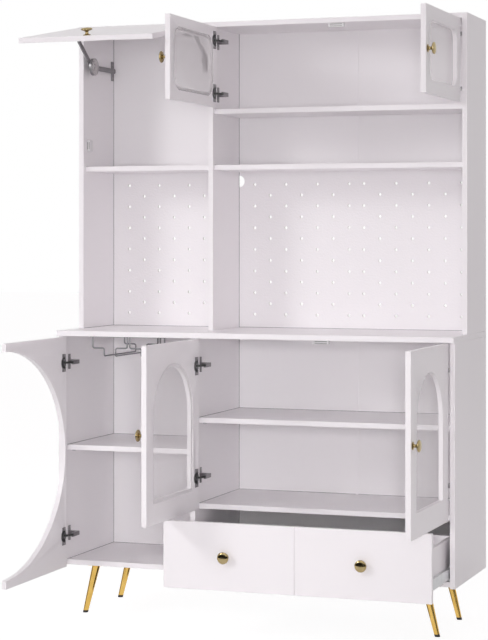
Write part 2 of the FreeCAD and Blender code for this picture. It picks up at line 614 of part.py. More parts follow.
def stay_bar(x, length, start_hole, end_hole):
    """A flat bar with round ends, drawn along -Y from its first pivot."""
    bar = box(x, "-" + length, "-stay_bar_tall / 2", "stay_bar_thick", length, "stay_bar_tall")
    ends = [rod("stay_bar_tall / 2", "stay_bar_thick", x, y, "0", "X") for y in ("0", "-" + length)]
    through = "stay_bar_thick + 2 * overrun"
    holes = [rod("stay_pin_radius + stay_gap / 2", through, x + " - overrun", y, "0", "X")
             for y, wanted in (("0", start_hole), ("-" + length, end_hole)) if wanted]
    return cut(fuse(bar, *ends), fuse(*holes) if len(holes) > 1 else holes[0])


def stays():
    plates = []
    lower = []
    upper = []
    feet = []
    for side, panel in ((1, LEFT_IN), (-1, MID_LEFT)):
        def at(start, wide):
            return "%s + %s" % (panel, start) if side > 0 else "%s - (%s) - (%s)" % (panel, start, wide)
        axis = "X" if side > 0 else "-X"
        upper_x = "(stay_side + stay_bar_thick + stay_gap)"
        plate = box(at("0", "stay_plate_thick"), ANCHOR_Y + " - stay_plate_wide / 2",
                    ANCHOR_Z + " - stay_plate_tall / 2", "stay_plate_thick", "stay_plate_wide",
                    "stay_plate_tall")
        boss = rod("stay_bar_tall / 2", "stay_side - stay_gap", at("0", "0"), ANCHOR_Y, ANCHOR_Z, axis)
        pin_long = "stay_side + stay_bar_thick + stay_gap"
        pin = rod("stay_pin_radius", pin_long, at("0", "0"), ANCHOR_Y, ANCHOR_Z, axis)
        plates.append(fuse(plate, boss, pin))
        lower.append(stay_bar(at("stay_side", "stay_bar_thick"), LOWER_LONG, True, False))
        hub_x = at("%s + stay_bar_thick" % upper_x, "0")
        hub = rod("stay_hub_radius", "stay_hub_thick", hub_x, "0", "0", axis)
        upper.append(fuse(stay_bar(at(upper_x, "stay_bar_thick"), "stay_upper_long", False, True), hub))
        foot_start = "%s + stay_bar_thick + stay_gap" % upper_x
        feet.append((at(foot_start, "stay_foot_wide"), at(foot_start, "stay_foot_thick"), at(foot_start, "0"),
                     "-X" if side > 0 else "X"))
    return plates, lower, upper, feet


# Drawer: one wide box whose front is parted by an upright groove
DRAWER_LEFT = "(%s - lap)" % MID_RIGHT
DRAWER_WIDE = "(%s + 2 * lap)" % RIGHT_BAY
FRONT_BACK_Y = "(-base_depth - door_gap - drawer_pull)"
BOX_LEFT = "(%s + slide_room)" % MID_RIGHT
BOX_WIDE = "(%s - 2 * slide_room)" % RIGHT_BAY
BOX_LOW = "(%s + drawer_side_lift)" % DRAWER_BOTTOM
BOX_LONG = "(base_depth + door_gap - drawer_back_room)"
RAIL_LONG = "(base_depth - rail_setback - rail_back_room)"


def drawer():
    tall = "(%s - %s)" % (DRAWER_TOP, DRAWER_BOTTOM)
    front = box(DRAWER_LEFT, FRONT_BACK_Y + " - door_thick", DRAWER_BOTTOM, DRAWER_WIDE, "door_thick", tall)
    groove = box("%s + %s / 2 - groove_wide / 2" % (DRAWER_LEFT, DRAWER_WIDE),
                 FRONT_BACK_Y + " - door_thick - overrun", DRAWER_BOTTOM + " - overrun", "groove_wide",
                 "groove_deep + overrun", tall + " + 2 * overrun")
    keep(cut(front, groove), "drawer_front")
    sides = [box(x, FRONT_BACK_Y, BOX_LOW, "drawer_side", BOX_LONG, "drawer_side_tall")
             for x in (BOX_LEFT, "%s + %s - drawer_side" % (BOX_LEFT, BOX_WIDE))]
    inside = BOX_WIDE + " - 2 * drawer_side"
    back = box(BOX_LEFT + " + drawer_side", "%s + %s - drawer_side" % (FRONT_BACK_Y, BOX_LONG), BOX_LOW,
               inside, "drawer_side", "drawer_side_tall")
    keep(group(*sides, back), "drawer_box_boards")
    keep(box(BOX_LEFT + " + drawer_side", FRONT_BACK_Y, BOX_LOW + " + drawer_floor_lift", inside,
             BOX_LONG + " - drawer_side", "drawer_floor"), "drawer_floor_board")
    middle = "(%s + %s) / 2" % (DRAWER_BOTTOM, DRAWER_TOP)
    face = FRONT_BACK_Y + " - door_thick"
    keep(group(*[knob("%s + %s * %s" % (DRAWER_LEFT, DRAWER_WIDE, share), face, middle, "-Y")
                 for share in ("left_knob_share", "(1 - right_knob_share)")]), "drawer_knobs")


def drawer_slides():
    """Channels on the bay's walls, and the runners on the drawer's sides that slide in them."""
    channels = []
    runners = []
    low = BOX_LOW + " + rail_lift"
    for side, wall in ((1, MID_RIGHT), (-1, RIGHT_IN)):
        def at(start, wide):
            return "%s + %s" % (wall, start) if side > 0 else "%s - (%s) - (%s)" % (wall, start, wide)
        back = "-base_depth + rail_setback"
        shell = box(at("0", "rail_wide"), back, low, "rail_wide", RAIL_LONG, "rail_tall")
        mouth = "rail_wide - rail_web + overrun"
        hollow = box(at("rail_web", mouth), back + " - overrun", low + " + rail_lip", mouth,
                     RAIL_LONG + " + 2 * overrun", "rail_tall - 2 * rail_lip")
        channels.append(cut(shell, hollow))
        inset = "(rail_web + rail_play)"
        runners.append(box(at(inset, "slide_room - " + inset), FRONT_BACK_Y, low + " + rail_lip + rail_play",
                           "slide_room - " + inset, RAIL_LONG, "rail_tall - 2 * rail_lip - 2 * rail_play"))
    keep(group(*channels), "drawer_channels")
    keep(group(*runners), "drawer_runners")


# Wire rack for glasses, under the countertop
def bent_wire(points, bend, radius):
    """A round wire along straight runs that are joined by tangent arcs."""
    edges = []
    start = points[0]
    for before, corner, after in zip(points, points[1:], points[2:]):
        inward = (before - corner).normalize()
        onward = (after - corner).normalize()
        first = corner + inward * bend
        last = corner + onward * bend
        middle = corner + (inward + onward) * bend * (1 - math.sqrt(0.5))
        edges.append(Part.LineSegment(start, first).toShape())
        edges.append(Part.Arc(first, middle, last).toShape())
        start = last
    edges.append(Part.LineSegment(start, points[-1]).toShape())
    path = Part.Wire(edges)
    ring = Part.Wire(Part.makeCircle(radius, points[0], points[1] - points[0]))
    return path.makePipeShell([ring], True, False)


def glass_rack():
    ceiling = size(COUNTER_LOW)
    front = size("rack_front_inset - base_depth")
    back = front + size("rack_deep")
    middle = size(LEFT_IN + " + left_bay / 2")
    bar_low = ceiling - size("rack_bar_thick")
    upper = ceiling - size("rack_drop")
    lower = upper - size("rack_fall")
    wide = size("rack_bar_wide")
    long = size("rack_bar_long")
    thick = size("rack_bar_thick")
    shapes = [Part.makeBox(long, wide, thick, FreeCAD.Vector(middle - long / 2, y, bar_low))
              for y in (front, back - wide)]
    slot = size("rack_slot_wide")
    gap = size("rack_slot_gap")
    for slot_side in (-1, 1):
        centre = middle + slot_side * (slot + gap) / 2
        for side in (-1, 1):
            outer = centre + side * slot / 2
            inner = outer - side * size("rack_step")
            y0 = front + wide / 2
            y1 = back - wide / 2
            route = [(outer, y0, bar_low), (outer, y0, upper), (inner, y0, upper), (inner, y0, lower),
                     (inner, y1, lower), (inner, y1, upper), (outer, y1, upper), (outer, y1, bar_low)]
            points = [FreeCAD.Vector(*p) for p in route]
            shapes.append(bent_wire(points, size("rack_bend"), size("rack_wire")))
    obj = doc.addObject("Part::Feature", "rack")
    obj.Shape = shapes[0].multiFuse(shapes[1:]).removeSplitter()
    keep(obj, "glass_rack")


# Magnet catches for the pairs of doors and the flap, and the pins under the loose shelves
def catches():
    bay_middle = "%s + %s / 2 - catch_wide / 2" % (MID_RIGHT, RIGHT_BAY)
    top = box(bay_middle, "-hutch_depth + catch_setback", HUTCH_CEILING + " - catch_tall", "catch_wide",
              "catch_deep", "catch_tall")
    low = box(bay_middle, "-base_depth + catch_setback", COUNTER_LOW + " - catch_tall", "catch_wide",
              "catch_deep", "catch_tall")
    side = box(LEFT_IN, "-hutch_depth + side_catch_setback", HUTCH_LOW_TOP + " + side_catch_lift",
               "side_catch_thick", "side_catch_wide", "side_catch_tall")
    keep(group(top, low, side), "magnet_catches")


def shelf_pins():
    pins = []
    for left, right, top, setback in ((LEFT_IN, MID_LEFT, LEFT_SHELF_TOP, "base_shelf_setback"),
                                      (MID_RIGHT, RIGHT_IN, RIGHT_SHELF_TOP, "right_shelf_setback")):
        z = top + " - board - pin_radius"
        for y in ("-base_depth + %s + pin_inset" % setback, BACK_FACE + " - pin_inset"):
            pins.append(rod("pin_radius", "pin_long", left, y, z, "X"))
            pins.append(rod("pin_radius", "pin_long", right, y, z, "-X"))
    keep(group(*pins), "shelf_pins")


def stay_pieces():
    plates, lower, upper, feet = stays()
    keep(group(*plates), "stay_plates")
    bars = group(*lower)
    swing(bars, "0", ANCHOR_Y, ANCHOR_Z, FreeCAD.Vector(1, 0, 0), "-stay_lower_angle")
    keep(bars, "stay_lower_arms")
    blades = group(*upper)
    swing(blades, "0", ELBOW_Y, ELBOW_Z, FreeCAD.Vector(1, 0, 0), "-stay_upper_angle")
    keep(blades, "stay_upper_arms")
    # where the upper bars end, seen from the shut flap's pivot
    tip_y = "(%s - stay_upper_long * cos(stay_upper_angle * 1deg) - %s)" % (ELBOW_Y, FLAP_PIVOT_Y)
    tip_z = "(%s + stay_upper_long * sin(stay_upper_angle * 1deg) - %s)" % (ELBOW_Z, FLAP_PIVOT_Z)
    shut_y = "(%s * cos(flap_open_angle * 1deg) - %s * sin(flap_open_angle * 1deg))" % (tip_y, tip_z)
    shut_z = "(%s * sin(flap_open_angle * 1deg) + %s * cos(flap_open_angle * 1deg))" % (tip_y, tip_z)
    brackets = []
    for foot_x, ear_x, pin_x, axis in feet:
        foot = box(foot_x, FLAP_INNER, shut_z + " - stay_foot_long / 2", "stay_foot_wide", "stay_foot_thick",
                   "stay_foot_long")
        ear = box(ear_x, FLAP_INNER, shut_z + " - stay_bar_tall / 2", "stay_foot_thick",
                  "%s - %s + stay_bar_tall / 2" % (shut_y, FLAP_INNER), "stay_bar_tall")
        pin = rod("stay_pin_radius", "stay_bar_thick + stay_gap", pin_x, shut_y, shut_z, axis)
        brackets.append(fuse(foot, ear, pin))
    flap_hang(group(*brackets), "stay_flap_brackets")


base_carcass()
hutch_carcass()
back_boards()
peg_boards()
legs()
base_arms = curved_door() + arched_doors()
hutch_arms = upper_doors() + flap()
keep(group(*base_arms), "base_hinge_arms")
keep(group(*hutch_arms), "hutch_hinge_arms")
stay_pieces()
drawer()
drawer_slides()
glass_rack()
catches()
shelf_pins()
doc.recompute()

for obj in doc.Objects:
    if "Invalid" in obj.State or "Error" in obj.State:
        raise RuntimeError("%s failed: %s" % (obj.Label, obj.State))
os.makedirs("parts", exist_ok=True)
for obj in pieces:
    if obj.Shape.isNull() or not obj.Shape.isValid() or not obj.Shape.Solids:
        raise RuntimeError("%s has no valid solid" % obj.Label)
for obj in pieces:
    obj.Shape.exportStep("parts/%s.step" % obj.Label)
print(len(pieces), "pieces,", sum(len(obj.Shape.Solids) for obj in pieces), "solids")
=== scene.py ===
import json
import math

import bmesh
import bpy
from mathutils import Matrix, Vector


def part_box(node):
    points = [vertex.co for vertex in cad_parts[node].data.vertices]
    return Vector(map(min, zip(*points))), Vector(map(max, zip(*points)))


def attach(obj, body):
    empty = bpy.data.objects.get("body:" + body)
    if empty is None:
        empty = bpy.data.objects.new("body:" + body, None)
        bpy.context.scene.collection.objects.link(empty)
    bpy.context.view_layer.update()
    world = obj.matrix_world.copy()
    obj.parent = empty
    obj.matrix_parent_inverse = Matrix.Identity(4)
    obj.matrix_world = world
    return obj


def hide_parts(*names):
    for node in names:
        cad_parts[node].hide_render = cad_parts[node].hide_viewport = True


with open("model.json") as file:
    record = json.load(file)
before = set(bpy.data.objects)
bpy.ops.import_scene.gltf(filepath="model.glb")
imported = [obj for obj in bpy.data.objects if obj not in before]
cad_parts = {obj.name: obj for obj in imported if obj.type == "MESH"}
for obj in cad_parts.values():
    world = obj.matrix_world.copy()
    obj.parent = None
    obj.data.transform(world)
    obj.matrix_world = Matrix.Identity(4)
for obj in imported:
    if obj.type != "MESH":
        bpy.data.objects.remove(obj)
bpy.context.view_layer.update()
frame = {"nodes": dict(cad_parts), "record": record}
nodes = frame["nodes"]
scene = bpy.context.scene
scene.view_settings.view_transform = "Standard"
bodies = frame["record"]["behaviour"]["bodies"]
bodyOf = {node: body for body, members in bodies.items() for node in members}
print("frame loaded:", len(nodes), "nodes")


# one socket of a node tree; its operators add Math nodes
class Wire:
    def __init__(self, graph, socket):
        self.graph = graph
        self.socket = socket

    def maths(self, operation, other=None, flip=False):
        pair = (other, self) if flip else (self, other)
        values = {i: v for i, v in enumerate(pair) if v is not None}
        return self.graph.node("ShaderNodeMath", {"operation": operation}, values)

    def __add__(self, other):
        return self.maths("ADD", other)

    def __sub__(self, other):
        return self.maths("SUBTRACT", other)

    def __mul__(self, other):
        return self.maths("MULTIPLY", other)

    def __truediv__(self, other):
        return self.maths("DIVIDE", other)

    def __rsub__(self, other):
        return self.maths("SUBTRACT", other, True)

    def __rtruediv__(self, other):
        return self.maths("DIVIDE", other, True)

    __radd__ = __add__
    __rmul__ = __mul__


# a node tree of either kind: settings first, then the values or links of its sockets
class Graph:
    def __init__(self, tree):
        self.tree = tree

    def node(self, kind, settings=None, values=None, out=0):
        made = self.tree.nodes.new(kind)
        for key, value in (settings or {}).items():
            setattr(made, key, value)
        for key, value in (values or {}).items():
            for one in value if isinstance(value, list) else [value]:
                if isinstance(one, Wire):
                    self.tree.links.new(one.socket, made.inputs[key])
                else:
                    made.inputs[key].default_value = one
        if isinstance(out, tuple):
            return [Wire(self, made.outputs[o]) for o in out]
        return Wire(self, made.outputs[out]) if made.outputs else None


# a material whose patterns follow the piece's own coordinates
class Finish(Graph):
    def __init__(self, name):
        self.material = bpy.data.materials.new(name)
        self.material.use_nodes = True
        super().__init__(self.material.node_tree)
        self.tree.nodes.clear()
        self.place = self.node("ShaderNodeTexCoord", out="Object")

    def noise(self, scale, detail=2.0, stretch=(1, 1, 1)):
        spot = self.node("ShaderNodeMapping", None, {"Vector": self.place, "Scale": stretch})
        return self.node("ShaderNodeTexNoise", None, {"Vector": spot, "Scale": scale, "Detail": detail})

    def blend(self, share, first, second):
        colours = {0: share, 6: (*first, 1), 7: (*second, 1)}
        return self.node("ShaderNodeMix", {"data_type": "RGBA"}, colours, out=2)

    def bump(self, height, strength, distance):
        return self.node("ShaderNodeBump", None, {
            "Height": height, "Strength": strength, "Distance": distance})

    def coat(self, values):
        shader = self.node("ShaderNodeBsdfPrincipled", None, values)
        self.node("ShaderNodeOutputMaterial", None, {"Surface": shader})
        return self.material


# white board: satin film with a faint orange peel and a slow drift of tone
whitePattern = {"drift": 2.6, "driftDetail": 3.0, "rub": 38.0, "rubDetail": 4.0, "rubDepth": 0.10,
                "specular": 0.38, "peelStrength": 0.6}
boardLook = {"light": (0.957, 0.930, 0.951), "shade": (0.944, 0.916, 0.937),
             "rough": 0.33, "peel": 620.0, "relief": 0.00004}
backLook = {"light": (0.954, 0.929, 0.948), "shade": (0.942, 0.916, 0.935),
            "rough": 0.52, "peel": 380.0, "relief": 0.00004}
pegLook = {"light": (0.944, 0.918, 0.938), "shade": (0.918, 0.892, 0.912),
           "rough": 0.44, "peel": 190.0, "relief": 0.0011}
plasticLook = {"light": (0.835, 0.825, 0.835), "shade": (0.80, 0.79, 0.80),
               "rough": 0.30, "peel": 240.0, "relief": 0.00004}


def whiteFinish(name, look):
    finish = Finish(name)
    drift = finish.noise(whitePattern["drift"], whitePattern["driftDetail"])
    peel = finish.noise(look["peel"])
    rub = finish.noise(whitePattern["rub"], whitePattern["rubDetail"])
    return finish.coat({
        "Base Color": finish.blend(drift, look["shade"], look["light"]),
        "Roughness": look["rough"] + (rub - 0.5) * whitePattern["rubDepth"],
        "Specular IOR Level": whitePattern["specular"],
        "Normal": finish.bump(peel, whitePattern["peelStrength"], look["relief"])})


# metals: a base colour, a darker tarnish in blotches, and fine drawn streaks
metalPattern = {"blotch": 46.0, "blotchDetail": 3.0, "streakRough": 0.14, "bump": 0.04, "depth": 0.0002}
legLook = {"light": (0.80, 0.54, 0.17), "shade": (0.62, 0.38, 0.08),
           "rough": 0.17, "streak": (260, 260, 9)}
knobLook = {"light": (0.50, 0.40, 0.22), "shade": (0.24, 0.18, 0.08),
            "rough": 0.10, "streak": (420, 420, 420)}
hingeLook = {"light": (0.33, 0.32, 0.33), "shade": (0.20, 0.19, 0.20),
             "rough": 0.30, "streak": (300, 300, 40)}
# hinge links: steel coloured near black, painted shade for the dark middle of each hinge
linkShadeLook = {"light": (0.10, 0.10, 0.10), "shade": (0.06, 0.06, 0.06),
            "rough": 0.46, "streak": (300, 300, 60)}
stayLook = {"light": (0.34, 0.33, 0.34), "shade": (0.22, 0.21, 0.22),
            "rough": 0.34, "streak": (180, 40, 180)}
hubLook = {"light": (0.62, 0.60, 0.60), "shade": (0.40, 0.38, 0.39),
           "rough": 0.26, "streak": (60, 260, 260)}
railLook = {"light": (0.70, 0.70, 0.71), "shade": (0.56, 0.56, 0.58),
            "rough": 0.36, "streak": (60, 6, 420)}
rackLook = {"light": (0.30, 0.30, 0.31), "shade": (0.22, 0.22, 0.23),
            "rough": 0.30, "streak": (90, 30, 90)}
screwLook = {"light": (0.50, 0.49, 0.48), "shade": (0.34, 0.33, 0.33),
             "rough": 0.30, "streak": (500, 500, 500)}


def metalFinish(name, look):
    finish = Finish(name)
    blotch = finish.noise(metalPattern["blotch"], metalPattern["blotchDetail"])
    streak = finish.noise(1.0, stretch=look["streak"])
    return finish.coat({
        "Base Color": finish.blend(blotch, look["shade"], look["light"]),
        "Metallic": 1.0,
        "Roughness": look["rough"] + (streak - 0.5) * metalPattern["streakRough"],
        "Normal": finish.bump(streak, metalPattern["bump"], metalPattern["depth"])})


# dull finishes: rubber, raw board and the shadow in a joint
dullPattern = {"detail": 3.0, "roughSpread": 0.2, "bump": 0.2, "depth": 0.0003}
rubberLook = {"light": (0.035, 0.034, 0.034), "shade": (0.018, 0.018, 0.018),
              "rough": 0.62, "grain": 900.0}


def dullFinish(name, look):
    finish = Finish(name)
    grain = finish.noise(look["grain"], dullPattern["detail"])
    return finish.coat({
        "Base Color": finish.blend(grain, look["shade"], look["light"]),
        "Roughness": look["rough"] + (grain - 0.5) * dullPattern["roughSpread"],
        "Normal": finish.bump(grain, dullPattern["bump"], dullPattern["depth"])})


# glass: mostly clear face on, more mirror at a slant, with a breath of dust
glassPattern = {"dust": 14.0, "dustDetail": 5.0, "dustRough": 0.05, "dustVeil": 0.02,
                "slantBlend": 0.30, "ior": 1.50}
clearLook = {"tint": (0.96, 0.94, 0.95), "dust": (0.93, 0.91, 0.92),
             "rough": 0.03, "veil": 0.24, "slant": 0.10}
flutedLook = {"tint": (0.96, 0.94, 0.95), "dust": (0.93, 0.91, 0.92),
              "rough": 0.06, "veil": 0.06, "slant": 0.10}


def glassFinish(name, look):
    finish = Finish(name)
    dust = finish.noise(glassPattern["dust"], glassPattern["dustDetail"])
    slant = finish.node("ShaderNodeLayerWeight", None, {
        "Blend": glassPattern["slantBlend"]}, out="Fresnel")
    return finish.coat({
        "Base Color": finish.blend(dust, look["tint"], look["dust"]),
        "Roughness": look["rough"] + dust * glassPattern["dustRough"],
        "IOR": glassPattern["ior"],
        "Alpha": look["veil"] + slant * look["slant"] + dust * glassPattern["dustVeil"]})


finishes = {
    "white_board": whiteFinish("satinWhiteBoard", boardLook),
    "white_back": whiteFinish("mattWhiteBack", backLook),
    "peg_board": whiteFinish("embossedPegboard", pegLook),
    "white_plastic": whiteFinish("mouldedWhitePlastic", plasticLook),
    "gold_leg": metalFinish("satinGoldLeg", legLook),
    "brass_knob": metalFinish("polishedBrassKnob", knobLook),
    "hinge_steel": metalFinish("darkHingeSteel", hingeLook),
    "hinge_link": metalFinish("blackLinkSteel", linkShadeLook),
    "stay_steel": metalFinish("greyStaySteel", stayLook),
    "stay_hub": metalFinish("turnedHubSteel", hubLook),
    "rail_steel": metalFinish("zincRailSteel", railLook),
    "rack_wire": metalFinish("greyRackWire", rackLook),
    "black_foot": dullFinish("blackRubberFoot", rubberLook),
    "clear_pane": glassFinish("clearPaneGlass", clearLook),
    "fluted_pane": glassFinish("flutedPaneGlass", flutedLook),
}
screwSteel = metalFinish("screwSteel", screwLook)
print("finishes made:", len(finishes) + 1)


# a finished piece: it rides on its body and stands in for the nodes it replaces
def keepPiece(name, mesh, body, replaced=()):
    mesh.name = name
    piece = bpy.data.objects.new(name, mesh)
    scene.collection.objects.link(piece)
    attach(piece, body)
    if replaced:
        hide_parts(*replaced)


# edges steeper than these angles, in degrees, stay sharp
sharpAngles = {"board": 26, "rounded": 40, "turned": 50, "tube": 60, "bead": 70}


def meshOf(bm, finish, sharp="board"):
    mesh = bpy.data.meshes.new("made")
    bm.to_mesh(mesh)
    bm.free()
    for face in mesh.polygons:
        face.use_smooth = True
        face.material_index = 0
    mesh.set_sharp_from_angle(angle=math.radians(sharpAngles[sharp]))
    mesh.materials.append(finish)
    return mesh


# vertices closer than these are one
weldGaps = {"node": 2e-6, "made": 1e-6, "board": 1e-5}


def nodeMesh(node):
    bm = bmesh.new()
    bm.from_mesh(nodes[node].data)
    bmesh.ops.remove_doubles(bm, verts=bm.verts, dist=weldGaps["node"])
    return bm


sideways, backwards, upright = Vector((1, 0, 0)), Vector((0, 1, 0)), Vector((0, 0, 1))


def cornersOf(vertices, axes=(sideways, backwards, upright)):
    spots = [[v.co.dot(a) for a in axes] for v in vertices]
    return [min(s[i] for s in spots) for i in range(3)], [max(s[i] for s in spots) for i in range(3)]


def centreOf(vertices):
    low, high = cornersOf(vertices)
    return Vector([(a + b) / 2 for a, b in zip(low, high)])


# each solid of a node as a list of its vertices
def solidsOf(node):
    bm = nodeMesh(node)
    seen = set()
    solids = []
    for first in bm.verts:
        if first in seen:
            continue
        seen.add(first)
        found = [first]
        for v in found:
            for e in v.link_edges:
                w = e.other_vert(v)
                if w not in seen:
                    seen.add(w)
                    found.append(w)
        solids.append(found)
    return bm, solids


def blockIn(bm, low, high):
    made = bmesh.ops.create_cube(bm, size=1.0)["verts"]
    for v in made:
        v.co = Vector([(a + b) / 2 + c * (b - a) for a, b, c in zip(low, high, v.co)])
    return made


# boards that touch, each taken from the triangles of its own box
boxFaces = 12


def blocksOf(node):
    mesh = nodes[node].data
    bm = bmesh.new()
    for i in range(0, len(mesh.polygons), boxFaces):
        spots = [mesh.vertices[v] for face in mesh.polygons[i:i + boxFaces] for v in face.vertices]
        blockIn(bm, *cornersOf(spots))
    return bm


# the way a board faces: the normal that most of its area shares
def facing(node):
    area = {}
    for face in nodes[node].data.polygons:
        key = tuple(round(c, 3) for c in face.normal)
        area[key] = area.get(key, 0) + face.area
    return Vector(max(area, key=area.get)).normalized()


# eased edges on every board and fitting that keeps its CAD shape
easedSizes = {
    "white_board": {"width": 0.0009, "segments": 2},
    "white_back": {"width": 0.0003, "segments": 1},
    "hinge_steel": {"width": 0.0004, "segments": 2},
    "stay_steel": {"width": 0.0006, "segments": 2},
    "rail_steel": {"width": 0.0005, "segments": 2},
    "clear_pane": {"width": 0.0006, "segments": 2},
}
easedNodes = {
    "white_board": [
        "base_left_panel", "base_right_panel", "base_bottom_panel", "base_divider", "drawer_deck",
        "base_left_shelf", "base_right_shelf", "countertop", "hutch_left_panel", "hutch_right_panel",
        "hutch_top_panel", "hutch_divider", "hutch_left_shelf", "hutch_right_shelves", "curved_door_panel",
        "left_arch_door_panel", "right_arch_door_panel", "left_upper_door_panel", "right_upper_door_panel",
        "flap_panel", "drawer_front", "drawer_box_boards", "drawer_floor_board"],
    "white_back": ["back_boards", "back_joint_strips"],
    "hinge_steel": [
        "base_hinge_arms", "hutch_hinge_arms", "curved_door_hinge_cups", "left_arch_door_hinge_cups",
        "right_arch_door_hinge_cups", "left_upper_door_hinge_cups", "right_upper_door_hinge_cups",
        "flap_hinge_cups"],
    "stay_steel": ["stay_plates", "stay_lower_arms", "stay_upper_arms", "stay_flap_brackets"],
    "rail_steel": ["drawer_channels", "drawer_runners"],
    "clear_pane": ["left_upper_door_pane", "right_upper_door_pane"],
}
easedAngles = {"flat": 0.4, "corner": 40}
touchingBoards = ("back_boards", "drawer_box_boards")


def bevelEdges(bm, edges, width, segments):
    bmesh.ops.bevel(bm, geom=edges, offset=width, offset_type="OFFSET", segments=segments,
                    profile=0.5, affect="EDGES", clamp_overlap=True)


def pieceName(node, ending=""):
    words = node.split("_")
    return words[0] + "".join(w.capitalize() for w in words[1:]) + ending


def easedPiece(node, slot):
    ease = easedSizes[slot]
    bm = blocksOf(node) if node in touchingBoards else nodeMesh(node)
    flat, least = math.radians(easedAngles["flat"]), math.radians(easedAngles["corner"])
    bmesh.ops.dissolve_limit(bm, angle_limit=flat, verts=bm.verts, edges=bm.edges)
    corners = [e for e in bm.edges if e.is_manifold and e.calc_face_angle(0) > least]
    bevelEdges(bm, corners, ease["width"], ease["segments"])
    keepPiece(pieceName(node, "Eased"), meshOf(bm, finishes[slot]), bodyOf[node], [node])


for slot, members in easedNodes.items():
    for node in members:
        easedPiece(node, slot)
print("eased pieces:", sum(len(m) for m in easedNodes.values()))

# nodes that keep their CAD mesh
plainNodes = {"gold_leg": ["legs"], "black_foot": ["leg_feet"], "rack_wire": ["glass_rack"],
              "rail_steel": ["shelf_pins"],
              "hinge_link": [n for n in nodes if n.endswith("_hinge_links")]}
for slot, members in plainNodes.items():
    for node in members:
        nodes[node].data.materials.clear()
        nodes[node].data.materials.append(finishes[slot])
print("plain nodes:", sum(len(m) for m in plainNodes.values()))


# turned pieces: a profile of (radius, height) swept round an axis
def turned(bm, profile, seat, axis, segments=40):
    turn = upright.rotation_difference(axis).to_matrix().to_4x4()
    rings = []
    for radius, height in profile:
        if radius == 0:
            rings.append([bm.verts.new((0, 0, height))])
        else:
            rings.append([bm.verts.new((radius * math.cos(a), radius * math.sin(a), height))
                          for a in (2 * math.pi * i / segments for i in range(segments))])
    for low, high in zip(rings, rings[1:]):
        for i in range(segments):
            j = (i + 1) % segments
            around = [low[i % len(low)], low[j % len(low)], high[j % len(high)], high[i % len(high)]]
            bm.faces.new(list(dict.fromkeys(around)))
    bmesh.ops.transform(bm, matrix=Matrix.Translation(seat) @ turn, verts=[v for r in rings for v in r])


# knob: rosette, waisted neck, flared head with a soft crown
knobShape = {"segments": 44, "profile": [
    (0.0, 0.0), (0.0106, 0.0), (0.0110, 0.0005), (0.0109, 0.0013), (0.0096, 0.0021),
    (0.0072, 0.0026), (0.0058, 0.0034), (0.0049, 0.0050), (0.0045, 0.0070), (0.0046, 0.0088),
    (0.0052, 0.0102), (0.0072, 0.0115), (0.0108, 0.0128), (0.0139, 0.0141), (0.0157, 0.0155),
    (0.0165, 0.0170), (0.0164, 0.0182), (0.0156, 0.0191), (0.0148, 0.0195), (0.0140, 0.0200),
    (0.0118, 0.0210), (0.0087, 0.0217), (0.0050, 0.02195), (0.0, 0.0220)]}


def knobPiece(node, axis):
    side = axis.orthogonal().normalized()
    axes = (axis, side, axis.cross(side))
    source, solids = solidsOf(node)
    bm = bmesh.new()
    for solid in solids:
        low, high = cornersOf(solid, axes)
        seat = axis * low[0] + axes[1] * (low[1] + high[1]) / 2 + axes[2] * (low[2] + high[2]) / 2
        turned(bm, knobShape["profile"], seat, axis, knobShape["segments"])
    source.free()
    bmesh.ops.recalc_face_normals(bm, faces=bm.faces)
    mesh = meshOf(bm, finishes["brass_knob"], "turned")
    keepPiece(pieceName(node, "Turned"), mesh, bodyOf[node], [node])


def middleOf(node):
    low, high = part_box(node)
    return (low + high) / 2


# a board's normal, turned to the side where a fitting sits
def facingTowards(board, fitting):
    outward = facing(board)
    return outward if outward.dot(middleOf(fitting) - middleOf(board)) >= 0 else -outward


knobBoards = {
    "left_arch_door_knob": "left_arch_door_panel", "right_arch_door_knob": "right_arch_door_panel",
    "left_upper_door_knob": "left_upper_door_panel", "right_upper_door_knob": "right_upper_door_panel",
    "flap_knob": "flap_panel", "drawer_knobs": "drawer_front"}
for node, board in knobBoards.items():
    knobPiece(node, facingTowards(board, node))
print("knobs turned")


# a geometry tree: its inputs by name, and a way to solve it into a mesh
class Recipe(Graph):
    def __init__(self, name, inputs):
        self.group = bpy.data.node_groups.new(name, "GeometryNodeTree")
        super().__init__(self.group)
        face = self.group.interface
        face.new_socket("Geometry", in_out="OUTPUT", socket_type="NodeSocketGeometry")
        face.new_socket("Geometry", in_out="INPUT", socket_type="NodeSocketGeometry")
        self.keys = {}
        for label, kind in inputs.items():
            socket = face.new_socket(label, in_out="INPUT", socket_type="NodeSocket" + kind)
            self.keys[label] = socket.identifier
        entry = self.group.nodes.new("NodeGroupInput")
        self.given = {s.name: Wire(self, s) for s in entry.outputs if s.name}

    def ends(self, geometry):
        real = self.node("GeometryNodeRealizeInstances", None, {0: geometry})
        dressed = self.node("GeometryNodeSetMaterial", None, {
            "Geometry": real, "Material": self.given["Finish"]})
        self.node("NodeGroupOutput", None, {0: dressed})

    def make(self, start, values):
        carrier = bpy.data.objects.new("carrier", start)
        scene.collection.objects.link(carrier)
        step = carrier.modifiers.new("recipe", "NODES")
        step.node_group = self.group
        for label, value in values.items():
            step[self.keys[label]] = value
        bpy.context.view_layer.update()
        solved = carrier.evaluated_get(bpy.context.evaluated_depsgraph_get())
        mesh = bpy.data.meshes.new_from_object(solved)
        carrier.modifiers.clear()
        bpy.data.objects.remove(carrier)
        return mesh


def outlineMesh(points):
    mesh = bpy.data.meshes.new("outline")
    count = len(points)
    mesh.from_pydata([(x, y, 0) for x, y in points], [(i, (i + 1) % count) for i in range(count)], [])
    return mesh


